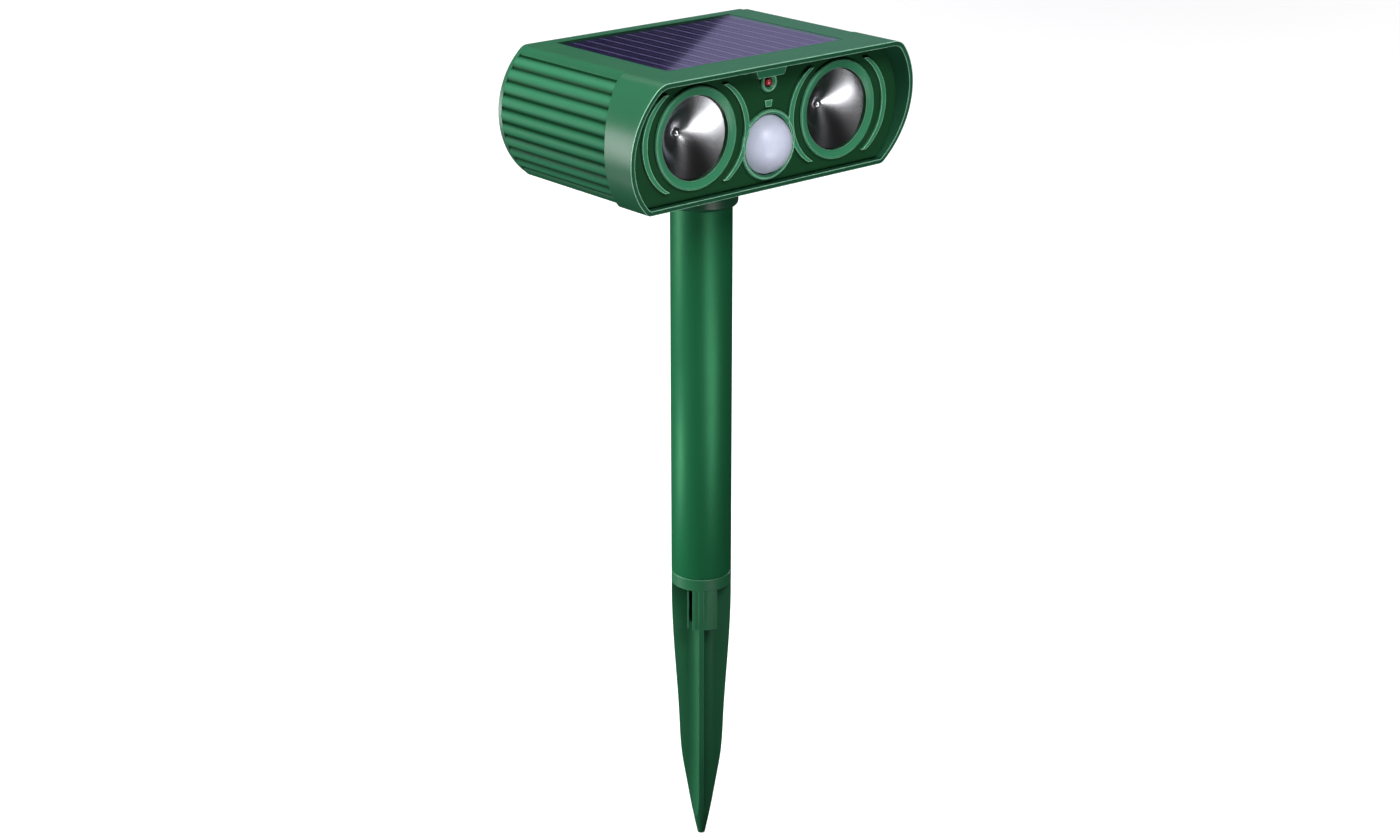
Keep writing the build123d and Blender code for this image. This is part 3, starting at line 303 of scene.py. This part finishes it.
def roughness(tree, shader, low, high, width):
    """Roughness that varies between two values over patches of a given width."""
    links = {"Vector": places(tree), "Scale": 1 / width, "Detail": 4.0}
    noise = add(tree, "ShaderNodeTexNoise", links)
    span = add(tree, "ShaderNodeMapRange", {"Value": noise, "To Min": low, "To Max": high})
    fill(tree, shader, {"Roughness": span})


def sharp_edges(tree, width):
    """1 along the sharp edges and 0 away from them: where a highlight is painted on."""
    corner = add(tree, "ShaderNodeBevel", {"Radius": width}, samples=6)
    flat = add(tree, "ShaderNodeNewGeometry").outputs["Normal"]
    turn = add(tree, "ShaderNodeVectorMath", {0: corner, 1: flat}, operation="DOT_PRODUCT")
    links = {"Value": turn.outputs["Value"], "From Min": EDGE_START, "From Max": EDGE_FULL}
    return add(tree, "ShaderNodeMapRange", links)


def reeds(tree):
    """How high on a reed, 0 in the creases and 1 on the crests; and 1 where there are reeds."""
    place = add(tree, "ShaderNodeSeparateXYZ", {"Vector": places(tree)}).outputs
    width = add(tree, "ShaderNodeMath", {0: place["X"]}, operation="ABSOLUTE")
    out = add(tree, "ShaderNodeMath", {0: width, 1: SIDE_CENTRE}, operation="SUBTRACT")
    up = add(tree, "ShaderNodeMath", {0: place["Z"], 1: HEAD_LEVEL}, operation="SUBTRACT")
    rise = add(tree, "ShaderNodeMath", {0: up, 1: up}, operation="MULTIPLY")
    squared = add(tree, "ShaderNodeMath", {0: out, 1: out, 2: rise}, operation="MULTIPLY_ADD")
    radius = add(tree, "ShaderNodeMath", {0: squared}, operation="SQRT")
    slope = add(tree, "ShaderNodeMath", {0: up, 1: out}, operation="ARCTAN2")
    angle = add(tree, "ShaderNodeMath", {0: slope}, operation="ABSOLUTE")
    sideways = add(tree, "ShaderNodeMath", {0: angle, 1: REED_HALF_ANGLE}, operation="LESS_THAN")
    links = {0: radius, 1: SIDE_RADIUS - REED_SUNK}
    sunk = add(tree, "ShaderNodeMath", links, operation="LESS_THAN")
    reeded = add(tree, "ShaderNodeMath", {0: sideways, 1: sunk}, operation="MULTIPLY")
    links = {"Value": radius, "From Min": CREASE_RADIUS, "From Max": CREST_RADIUS}
    return add(tree, "ShaderNodeMapRange", links), reeded


def moulded_abs(name, base, sizes, low=0.30, high=0.42, edge_highlight=None):
    """Injection-moulded ABS from a fine spark-eroded tool: an even colour with a soft sheen."""
    made, tree, shader = start_material(name, {"IOR": 1.53, "Specular IOR Level": 0.35})
    shown = tone(tree, base, 0.05, 18 * MM)
    # A colour given here is painted along the sharp edges as a highlight.
    if edge_highlight:
        links = {"Factor": sharp_edges(tree, sizes.edge_highlight_width), 6: shown, 7: (*edge_highlight, 1)}
        shown = add(tree, "ShaderNodeMix", links, data_type="RGBA").outputs[2]
    fill(tree, shader, {"Base Color": shown})
    roughness(tree, shader, low, high, 9 * MM)
    rounded_grain(tree, shader, sizes.edge, sizes.grain, 0.006 * MM)
    return made


def reeded_abs(colours, sizes):
    """Moulded ABS shell: satin green, with painted shade in the reeds' creases, painted light on
    their crests and a painted highlight along the rim's edges.
    """
    values = {"IOR": 1.53, "Specular IOR Level": SHELL_GLOSS}
    made, tree, shader = start_material("moulded_abs_shell", values)
    even = tone(tree, colours.body, 0.05, 18 * MM)
    height, reeded = reeds(tree)
    # Painted shade and light: the reeds are coloured darker down in their creases and lighter up on
    # their crests.
    links = {"Factor": height, 6: (*colours.crease_shade, 1), 7: (*colours.crest_light, 1)}
    reed = add(tree, "ShaderNodeMix", links, data_type="RGBA").outputs[2]
    links = {"Factor": reeded, 6: even, 7: reed}
    moulded = add(tree, "ShaderNodeMix", links, data_type="RGBA").outputs[2]
    # Painted highlight along the sharp edges of the rim's front.
    place = add(tree, "ShaderNodeSeparateXYZ", {"Vector": places(tree)}).outputs
    rim = add(tree, "ShaderNodeMath", {0: place["Y"], 1: PANEL_FLOOR}, operation="LESS_THAN")
    links = {0: sharp_edges(tree, sizes.edge_highlight_width), 1: rim}
    lines = add(tree, "ShaderNodeMath", links, operation="MULTIPLY")
    links = {"Factor": lines, 6: moulded, 7: (*colours.edges, 1)}
    edge_highlight = add(tree, "ShaderNodeMix", links, data_type="RGBA").outputs[2]
    links = {0: reeded, 1: REED_GLOSS - SHELL_GLOSS, 2: SHELL_GLOSS}
    gloss = add(tree, "ShaderNodeMath", links, operation="MULTIPLY_ADD")
    fill(tree, shader, {"Base Color": edge_highlight, "Specular IOR Level": gloss})
    roughness(tree, shader, 0.28, 0.38, 9 * MM)
    rounded_grain(tree, shader, sizes.edge, sizes.grain, 0.006 * MM)
    return made


def panel_abs(colours, sizes):
    """Moulded ABS front plate: deep green floor, its trim painted lighter as painted light, with a
    painted highlight along the trim's sharp edges.
    """
    values = {"IOR": 1.53, "Specular IOR Level": 0.2}
    made, tree, shader = start_material("moulded_abs_panel", values)
    place = add(tree, "ShaderNodeSeparateXYZ", {"Vector": places(tree)}).outputs
    # Painted light: the trim turns from the floor's colour to a lighter one as it stands out from the
    # floor.
    links = {"Value": place["Y"], "From Min": TRIM_START, "From Max": TRIM_FULL}
    rise = add(tree, "ShaderNodeMapRange", links)
    deep = tone(tree, colours.panel, 0.06, 14 * MM)
    links = {"Factor": rise, 6: deep, 7: (*colours.trim_light, 1)}
    trim = add(tree, "ShaderNodeMix", links, data_type="RGBA").outputs[2]
    # Painted highlight along the sharp edges of the trim.
    links = {0: sharp_edges(tree, sizes.edge_highlight_width), 1: rise}
    lines = add(tree, "ShaderNodeMath", links, operation="MULTIPLY")
    links = {"Factor": lines, 6: trim, 7: (*colours.edges, 1)}
    edge_highlight = add(tree, "ShaderNodeMix", links, data_type="RGBA").outputs[2]
    fill(tree, shader, {"Base Color": edge_highlight})
    roughness(tree, shader, 0.26, 0.36, 8 * MM)
    rounded_grain(tree, shader, sizes.edge, sizes.grain, 0.005 * MM)
    return made


def extruded_pvc(colours, sizes):
    """Extruded PVC tube, smooth from its die: glossy, with faint lines along its length."""
    values = {"IOR": 1.53, "Metallic": 0.3, "Anisotropic": 0.8, "Specular IOR Level": 0.12}
    made, tree, shader = start_material("extruded_pvc", values)
    around = add(tree, "ShaderNodeTangent", direction_type="RADIAL", axis="Z")
    green = tone(tree, colours.pole, 0.05, 30 * MM)
    roughness(tree, shader, 0.30, 0.36, 12 * MM)
    links = {"Vector": places(tree), "Scale": (1.0, 1.0, 0.02)}
    stretched = add(tree, "ShaderNodeMapping", links)
    links = {"Vector": stretched, "Scale": 1 / (0.8 * MM), "Detail": 1.0}
    lines = add(tree, "ShaderNodeTexNoise", links)
    corner = add(tree, "ShaderNodeBevel", {"Radius": sizes.edge}, samples=4)
    links = {"Height": lines, "Distance": 0.004 * MM, "Normal": corner}
    bump = add(tree, "ShaderNodeBump", links)
    fill(tree, shader, {"Tangent": around, "Base Color": green, "Normal": bump})
    return made


def turned_aluminium(colours, sizes):
    """Spun aluminium cone faced on a lathe: light drawn out into wedges by its fine grooves."""
    values = {"Metallic": 1.0, "Anisotropic": 0.85, "Roughness": 0.24}
    values["Base Color"] = (*colours.metal, 1)
    made, tree, shader = start_material("turned_aluminium", values)
    along = add(tree, "ShaderNodeTangent", direction_type="RADIAL", axis="Z")
    place = add(tree, "ShaderNodeSeparateXYZ", {"Vector": places(tree)}).outputs
    links = {0: place["X"], 1: place["X"]}
    across = add(tree, "ShaderNodeMath", links, operation="MULTIPLY")
    links = {0: place["Y"], 1: place["Y"], 2: across}
    squared = add(tree, "ShaderNodeMath", links, operation="MULTIPLY_ADD")
    radius = add(tree, "ShaderNodeMath", {0: squared}, operation="SQRT")
    links = {"W": radius, "Scale": 1 / sizes.groove, "Detail": 2.0}
    grooves = add(tree, "ShaderNodeTexNoise", links, noise_dimensions="1D")
    bump = add(tree, "ShaderNodeBump", {"Height": grooves, "Distance": 0.002 * MM})
    fill(tree, shader, {"Tangent": along, "Normal": bump})
    return made


def polished_steel_ball():
    """Polished steel: a bright point at the bottom of the cone."""
    values = {"Metallic": 1.0, "Base Color": (*linear("#e4e4e6"), 1)}
    made, tree, shader = start_material("polished_steel", values)
    roughness(tree, shader, 0.06, 0.12, 1 * MM)
    return made


def moulded_hdpe(colours, sizes):
    """Milky HDPE lens pressed thin: light spreads inside it, and its facets show faintly."""
    values = {
        "IOR": 1.54,
        "Subsurface Weight": 0.35,
        "Subsurface Radius": (1.2 * MM, 1.1 * MM, 1.4 * MM),
        "Subsurface Scale": 1.0,
        "Coat Weight": 0.15,
        "Coat Roughness": 0.2,
    }
    made, tree, shader = start_material("moulded_hdpe", values)
    links = {"Vector": places(tree), "Scale": 1 / sizes.lenslet, "Randomness": 0.35}
    facets = add(tree, "ShaderNodeTexVoronoi", links, feature="DISTANCE_TO_EDGE")
    links = {"Value": facets.outputs["Distance"], "From Max": 0.10}
    line = add(tree, "ShaderNodeMapRange", links)
    joint = (*[v * 0.96 for v in colours.lens], 1)
    links = {"Factor": line, 6: joint, 7: (*colours.lens, 1)}
    shade = add(tree, "ShaderNodeMix", links, data_type="RGBA").outputs[2]
    roughness(tree, shader, 0.34, 0.46, 3 * MM)
    links = {"Height": line, "Distance": 0.01 * MM, "Strength": 0.5}
    bump = add(tree, "ShaderNodeBump", links)
    fill(tree, shader, {"Base Color": shade, "Normal": bump})
    return made


def tinted_epoxy(colours):
    """Cast red epoxy of a lamp: glossy and a little see-through."""
    values = {
        "IOR": 1.5,
        "Subsurface Weight": 0.4,
        "Subsurface Radius": (1.0 * MM, 0.2 * MM, 0.2 * MM),
        "Subsurface Scale": 1.0,
        "Coat Weight": 0.6,
        "Coat Roughness": 0.05,
    }
    made, tree, shader = start_material("tinted_epoxy", values)
    fill(tree, shader, {"Base Color": tone(tree, colours.lamp, 0.1, 1.5 * MM)})
    roughness(tree, shader, 0.18, 0.28, 1 * MM)
    return made


def coated_silicon(colours, sizes):
    """Silicon strips with a dark anti-reflection coat: navy, a silver contact along each edge."""
    values = {"IOR": 1.6, "Specular IOR Level": 0.2}
    made, tree, shader = start_material("coated_silicon", values)
    place = add(tree, "ShaderNodeSeparateXYZ", {"Vector": places(tree)}).outputs
    strips = add(tree, "ShaderNodeMath", {0: place["X"], 1: CELL_START}, operation="SUBTRACT")
    within = add(tree, "ShaderNodeMath", {0: strips, 1: CELL_PITCH / 2}, operation="PINGPONG")
    contact = add(tree, "ShaderNodeMath", {0: within, 1: sizes.contact}, operation="LESS_THAN")
    dark = tone(tree, colours.cells, 0.25, 6 * MM)
    links = {"Factor": contact, 6: dark, 7: (*colours.gaps, 1)}
    shown = add(tree, "ShaderNodeMix", links, data_type="RGBA").outputs[2]
    fill(tree, shader, {"Base Color": shown})
    roughness(tree, shader, 0.25, 0.35, 4 * MM)
    return made


def laminated_backing(colours):
    """Woven glass laminate behind the cells: a dull mauve seen as thin lines between them."""
    made, tree, shader = start_material("laminated_backing", {"IOR": 1.5})
    fill(tree, shader, {"Base Color": tone(tree, colours.gaps, 0.15, 3 * MM)})
    roughness(tree, shader, 0.45, 0.6, 2 * MM)
    return made


def clear_pet():
    """Clear PET sheet: shows what lies under it, and its outside mirrors light at a low angle."""
    made = bpy.data.materials.new("clear_pet")
    tree = empty_tree(made)
    through = add(tree, "ShaderNodeBsdfTransparent", {"Color": (0.96, 0.96, 0.98, 1)})
    links = {"Vector": places(tree), "Scale": 1 / (25 * MM), "Detail": 1.0}
    waves = add(tree, "ShaderNodeTexNoise", links)
    bump = add(tree, "ShaderNodeBump", {"Height": waves, "Distance": 0.003 * MM})
    gloss = add(tree, "ShaderNodeBsdfAnisotropic", {"Roughness": 0.04, "Normal": bump})
    share = add(tree, "ShaderNodeFresnel", {"IOR": 1.45})
    inside = add(tree, "ShaderNodeNewGeometry").outputs["Backfacing"]
    outside = add(tree, "ShaderNodeMath", {0: 1, 1: inside}, operation="SUBTRACT")
    mirrored = add(tree, "ShaderNodeMath", {0: share, 1: outside}, operation="MULTIPLY")
    mixed = add(tree, "ShaderNodeMixShader", {0: mirrored, 1: through, 2: gloss})
    add(tree, "ShaderNodeOutputMaterial", {"Surface": mixed})
    return made


def moulded_rubber(colours):
    """Moulded silicone rubber: matt, with a faint dusty sheen."""
    made, tree, shader = start_material("moulded_rubber", {"IOR": 1.45, "Sheen Weight": 0.15})
    fill(tree, shader, {"Base Color": tone(tree, colours.soft, 0.15, 5 * MM)})
    roughness(tree, shader, 0.55, 0.7, 3 * MM)
    rounded_grain(tree, shader, 0.25 * MM, 0.2 * MM, 0.01 * MM)
    return made


def plated_steel():
    """Zinc-plated steel, barrel-finished: bright, with small scuffs."""
    made, tree, shader = start_material("plated_steel", {"Metallic": 1.0})
    fill(tree, shader, {"Base Color": tone(tree, linear("#b4b5b3"), 0.08, 2 * MM)})
    roughness(tree, shader, 0.22, 0.4, 0.7 * MM)
    rounded_grain(tree, shader, 0.12 * MM, 0.15 * MM, 0.004 * MM)
    return made


def stamped_brass():
    """Stamped brass: warm yellow metal, slightly dulled."""
    made, tree, shader = start_material("stamped_brass", {"Metallic": 1.0})
    fill(tree, shader, {"Base Color": tone(tree, linear("#c39a4a"), 0.1, 2 * MM)})
    roughness(tree, shader, 0.25, 0.4, 1 * MM)
    return made


def board_laminate():
    """Glass-epoxy board under green solder mask: semi-gloss, with a faint weave."""
    made, tree, shader = start_material("board_laminate", {"IOR": 1.5})
    links = {"Vector": places(tree), "Scale": 1 / (0.5 * MM)}
    links["Color1"] = (*linear("#14582c"), 1)
    links["Color2"] = (*linear("#186332"), 1)
    fill(tree, shader, {"Base Color": add(tree, "ShaderNodeTexChecker", links)})
    roughness(tree, shader, 0.3, 0.42, 2 * MM)
    return made


def shrink_sleeve(name, code):
    """Plastic sleeve shrunk round a cell, capacitor or wire: smooth and glossy."""
    made, tree, shader = start_material(name, {"IOR": 1.5})
    fill(tree, shader, {"Base Color": tone(tree, linear(code), 0.06, 4 * MM)})
    roughness(tree, shader, 0.2, 0.3, 2 * MM)
    return made


def open_foam():
    """Open-cell foam: black and rough, full of small holes."""
    made, tree, shader = start_material("open_foam", {"IOR": 1.4, "Roughness": 0.95})
    links = {"Vector": places(tree), "Scale": 1 / (0.4 * MM)}
    holes = add(tree, "ShaderNodeTexVoronoi", links)
    black = tone(tree, linear("#232323"), 0.3, 0.6 * MM)
    bump = add(tree, "ShaderNodeBump", {"Height": holes, "Distance": 0.1 * MM})
    fill(tree, shader, {"Base Color": black, "Normal": bump})
    return made


def light_table():
    """Translucent acrylic lit from below: a pale, even ground that goes on past the view."""
    values = {"Roughness": 0.9, "Emission Color": (1, 1, 1, 1), "Emission Strength": 0.85}
    made, tree, shader = start_material("light_table", values)
    fill(tree, shader, {"Base Color": tone(tree, linear("#949494"), 0.01, 400 * MM)})
    return made


def lit_card():
    """Matt card lit a pale lilac, which the solar panel mirrors as a veil."""
    values = {"Roughness": 1.0, "Emission Strength": CARD_GLOW}
    values["Emission Color"] = (*linear("#cfc8ff"), 1)
    return start_material("lit_card", values)[0]


def studio_room():
    """Dim room round the object, with a white wall where the camera looks past the ground."""
    made = bpy.data.worlds.new("studio")
    tree = empty_tree(made)
    room = add(tree, "ShaderNodeBackground", {"Color": (*WORLD_COLOUR, 1), "Strength": 1.0})
    wall = add(tree, "ShaderNodeBackground", {"Color": (*WALL_COLOUR, 1), "Strength": 1.0})
    seen = add(tree, "ShaderNodeLightPath").outputs["Is Camera Ray"]
    either = add(tree, "ShaderNodeMixShader", {0: seen, 1: room, 2: wall})
    add(tree, "ShaderNodeOutputWorld", {"Surface": either})
    return made


def both(name):
    """Names of the left and right piece."""
    return name + "_left", name + "_right"


def dress(material, *names):
    """Gives CAD nodes a material in every slot."""
    for name in names:
        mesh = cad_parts[name].data
        mesh.materials.clear()
        mesh.materials.append(material)


def new_piece(name, corners, faces, material):
    """New object with a mesh and one material of its own."""
    mesh = bpy.data.meshes.new(name)
    mesh.from_pydata(corners, [], faces)
    mesh.materials.append(material)
    piece = bpy.data.objects.new(name, mesh)
    bpy.context.scene.collection.objects.link(piece)
    return piece


def turned_piece(name, profile, steps, material, place, body):
    """Closed surface turned about its own Z from a profile of radius and height.

    A profile off the axis is a ring of points, and one that starts on the axis also ends there.
    """
    corners = []
    for radius, height in profile:
        for i in range(steps):
            angle = 2 * math.pi * i / steps
            corners.append((radius * math.cos(angle), radius * math.sin(angle), height))
    faces = []
    rows = len(profile) if profile[0][0] else len(profile) - 1
    for row in range(rows):
        start, above = row * steps, (row + 1) % len(profile) * steps
        for i in range(steps):
            j = (i + 1) % steps
            faces.append((start + i, start + j, above + j, above + i))
    piece = new_piece(name, corners, faces, material)
    mesh = piece.data
    shape = bmesh.new()
    shape.from_mesh(mesh)
    bmesh.ops.remove_doubles(shape, verts=shape.verts, dist=MERGE_DISTANCE)
    bmesh.ops.recalc_face_normals(shape, faces=shape.faces)
    shape.to_mesh(mesh)
    shape.free()
    mesh.polygons.foreach_set("use_smooth", [True] * len(mesh.polygons))
    mesh.set_sharp_from_angle(angle=SMOOTH_ANGLE)
    piece.location = place
    piece.rotation_euler = (math.radians(90), 0, 0)
    bpy.context.view_layer.update()
    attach(piece, body)
    return piece


def cone_profile(rim, depth):
    """Section of a cone from the back of its tip out to its rolled rim and in again."""
    return [
        (APEX_RADIUS, 0.0),
        (rim - ROLL, depth - CONE_WALL - ROLL_DROP),
        (rim, depth - CONE_WALL),
        (rim, depth),
        (rim - ROLL, depth),
        (APEX_RADIUS, CONE_WALL),
    ]


def ball_profile():
    """Half circle from the back of the ball at a cone's tip to its front."""
    turns = [math.pi * i / BALL_ARCS for i in range(BALL_ARCS + 1)]
    points = [
        (BALL_RADIUS * math.sin(turn), BALL_HEIGHT - BALL_RADIUS * math.cos(turn)) for turn in turns
    ]
    return [(0.0, points[0][1]), *points[1:-1], (0.0, points[-1][1])]


def looking(direction):
    """Rotation of a camera or light that looks along a direction."""
    return Vector(direction).to_track_quat("-Z", "Y").to_euler()


def soft_light(name, place, rotation, width, height, watts, mirrored=True):
    """Rectangular soft light, which glossy surfaces may mirror."""
    light = bpy.data.lights.new(name, "AREA")
    light.shape = "RECTANGLE"
    light.size = width
    light.size_y = height
    light.energy = watts
    lamp = bpy.data.objects.new(name, light)
    lamp.location = place
    lamp.rotation_euler = rotation
    lamp.visible_glossy = mirrored
    bpy.context.scene.collection.objects.link(lamp)


def glare_card():
    """Card over the ground behind the object, mirrored in half of the solar panel.

    Its straight edge is the mirror line of the panel's diagonal as the camera sees it.
    """
    low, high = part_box("solar_cover")
    eye = Vector(CAMERA_PLACE)
    eye.z = 2 * high.z - eye.z
    far = eye + (Vector((high.x, high.y, high.z)) - eye) * CARD_REACH
    near = eye + (Vector((low.x, low.y, high.z)) - eye) * CARD_REACH
    along = (far - near).normalized()
    aside = along.cross(Vector((0, 0, 1)))
    ends = [near - along * CARD_MARGIN, far + along * CARD_MARGIN]
    corners = [*ends, ends[1] + aside * CARD_WIDTH, ends[0] + aside * CARD_WIDTH]
    card = new_piece("glare_card", corners, [(0, 1, 2, 3)], lit_card())


def ground_cards():
    """Soft lights just over the ground, facing up, with their sides along the camera's right."""
    ahead = -Vector(CAMERA_DIRECTION)
    ahead.z = 0
    ahead.normalize()
    right = ahead.cross(Vector((0, 0, -1)))
    rotation = (math.pi, 0, math.atan2(right.y, right.x))
    for name, toward, aside, width, depth, watts in GROUND_CARDS:
        spot = ahead * toward + right * aside
        place = (spot.x, spot.y, GROUND + CARD_LIFT)
        soft_light(name, place, rotation, width, depth, watts)


class RepellerFinishes(bpy.types.Operator):
    """Give every moulded, turned, printed and wired piece of the repeller its finish"""

    bl_idname = "repeller.finishes"
    bl_label = "Finishes"

    def execute(self, context):
        colours = context.scene.repeller_colours
        sizes = context.scene.repeller_sizes
        body = moulded_abs("moulded_abs", colours.body, sizes)
        dress(body, "rear_cover", "battery_door", "pole_socket")
        dress(reeded_abs(colours, sizes), "body_shell")
        dress(panel_abs(colours, sizes), "front_panel")
        dress(extruded_pvc(colours, sizes), "pole")
        # Painted highlight along the stake's sharp edges.
        edge_highlight = linear("#4a8a66")
        pushed = moulded_abs("moulded_abs_stake", colours.stake, sizes, 0.34, 0.46, edge_highlight)
        dress(pushed, "stake")
        dress(moulded_hdpe(colours, sizes), "sensor_lens")
        dress(tinted_epoxy(colours), "lamp")
        dress(coated_silicon(colours, sizes), "solar_cells")
        dress(laminated_backing(colours), "solar_board")
        dress(moulded_rubber(colours), "usb_cover", "power_button", "door_seal")
        dark = moulded_abs("moulded_abs_dark", colours.dark, sizes)
        dress(dark, "frequency_knob", "sensitivity_knob", "lens_clip", "battery_holder")
        dress(dark, "switch_body", "controller_chip", "sensor_window", *both("board_bracket"))
        dress(dark, *both("speaker_frame"), *both("speaker_cap"))
        dress(open_foam(), *both("speaker_gasket"))
        steel = plated_steel()
        dress(steel, "cover_screws", "door_screws", "socket_screws", "main_board_screws")
        dress(steel, "sensor_board_screws", "battery_contacts", "usb_socket", "sensor_can")
        dress(steel, "frequency_shaft", "sensitivity_shaft", "frequency_pot", "sensitivity_pot")
        dress(stamped_brass(), *both("piezo_disc"), "switch_plunger")
        board = board_laminate()
        dress(board, "main_board", "sensor_board", "lamp_board", *both("control_board"))
        dress(shrink_sleeve("shrink_sleeve_cell", "#2c5f9e"), "battery_cells", "capacitors")
        dress(shrink_sleeve("enamelled_copper", "#9a4a22"), "transformers")
        dress(shrink_sleeve("pvc_lead", "#b02a24"), "power_leads", *both("speaker_leads"))
        return {"FINISHED"}


class RepellerCones(bpy.types.Operator):
    """Turn the metal loudspeaker cones, and the rubber ring and steel ball at the tip of each"""

    bl_idname = "repeller.cones"
    bl_label = "Loudspeaker cones"

    def execute(self, context):
        sizes = context.scene.repeller_sizes
        steps = sizes.cone_steps
        metal = turned_aluminium(context.scene.repeller_colours, sizes)
        steel = polished_steel_ball()
        rubber = bpy.data.materials["moulded_rubber"]
        half_circle = ball_profile()
        for side in ("left", "right"):
            low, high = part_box("speaker_cone_" + side)
            middle = (low + high) / 2
            place = (middle.x, high.y, middle.z)
            profile = cone_profile((high.x - low.x) / 2, high.y - low.y)
            cone = turned_piece("cone_" + side, profile, steps, metal, place, "head")
            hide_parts("speaker_cone_" + side)
            ring = turned_piece("tip_ring_" + side, TIP_RING, steps, rubber, place, "head")
            bead = turned_piece(
                "tip_ball_" + side, half_circle, sizes.ball_steps, steel, place, "head"
            )
            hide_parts("speaker_dome_" + side)
        return {"FINISHED"}


class RepellerSheet(bpy.types.Operator):
    """Lay the solar panel's clear sheet a hair clear of its cells"""

    bl_idname = "repeller.sheet"
    bl_label = "Solar sheet"

    def execute(self, context):
        low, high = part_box("solar_cover")
        levels = (low.z + SHEET_LIFT, high.z)
        corners = [(x, y, z) for z in levels for y in (low.y, high.y) for x in (low.x, high.x)]
        sides = [(0, 2, 3, 1), (4, 5, 7, 6), (0, 1, 5, 4), (2, 6, 7, 3), (0, 4, 6, 2), (1, 3, 7, 5)]
        sheet = new_piece("clear_sheet", corners, sides, clear_pet())
        context.view_layer.update()
        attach(sheet, "head")
        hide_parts("solar_cover")
        return {"FINISHED"}


class RepellerStudio(bpy.types.Operator):
    """Set the pale floor, the soft lights and the camera"""

    bl_idname = "repeller.studio"
    bl_label = "Studio"

    def execute(self, context):
        scene = context.scene
        quarters = ((-1, -1), (1, -1), (1, 1), (-1, 1))
        corners = [(x * FLOOR_HALF, y * FLOOR_HALF, GROUND) for x, y in quarters]
        floor = new_piece("floor", corners, [(0, 1, 2, 3)], light_table())
        floor.visible_glossy = False
        floor.visible_diffuse = False
        glare_card()
        for name, place, target, width, height, watts, mirrored in SOFTBOXES:
            rotation = looking(Vector(target) - Vector(place))
            soft_light(name, place, rotation, width, height, watts, mirrored)
        ground_cards()
        scene.world = studio_room()
        lens = bpy.data.cameras.new("camera")
        lens.lens = LENS_MM
        lens.sensor_width = SENSOR_MM
        camera = bpy.data.objects.new("camera", lens)
        camera.location = CAMERA_PLACE
        camera.rotation_euler = looking(CAMERA_DIRECTION)
        scene.collection.objects.link(camera)
        scene.camera = camera
        scene.view_settings.view_transform = "Standard"
        return {"FINISHED"}


GROUPS = (RepellerColours, RepellerSizes)
OPERATORS = (RepellerFinishes, RepellerCones, RepellerSheet, RepellerStudio)


class RepellerPanel(bpy.types.Panel):
    """Sidebar panel with the repeller's colours, sizes and operators"""

    bl_idname = "VIEW3D_PT_repeller"
    bl_label = "Garden pest repeller"
    bl_space_type = "VIEW_3D"
    bl_region_type = "UI"
    bl_category = "Repeller"

    def draw(self, context):
        for group in (context.scene.repeller_colours, context.scene.repeller_sizes):
            for name in group.bl_rna.properties.keys():
                if name not in ("rna_type", "name"):
                    self.layout.prop(group, name)
        for operator in OPERATORS:
            self.layout.operator(operator.bl_idname)


def register():
    for item in (*GROUPS, *OPERATORS, RepellerPanel):
        bpy.utils.register_class(item)
    bpy.types.Scene.repeller_colours = PointerProperty(type=RepellerColours)
    bpy.types.Scene.repeller_sizes = PointerProperty(type=RepellerSizes)


def unregister():
    del bpy.types.Scene.repeller_sizes
    del bpy.types.Scene.repeller_colours
    for item in (RepellerPanel, *reversed(OPERATORS), *reversed(GROUPS)):
        bpy.utils.unregister_class(item)


def main():
    register()
    bpy.ops.repeller.finishes()
    bpy.ops.repeller.cones()
    bpy.ops.repeller.sheet()
    bpy.ops.repeller.studio()


if __name__ == "__main__":
    main()
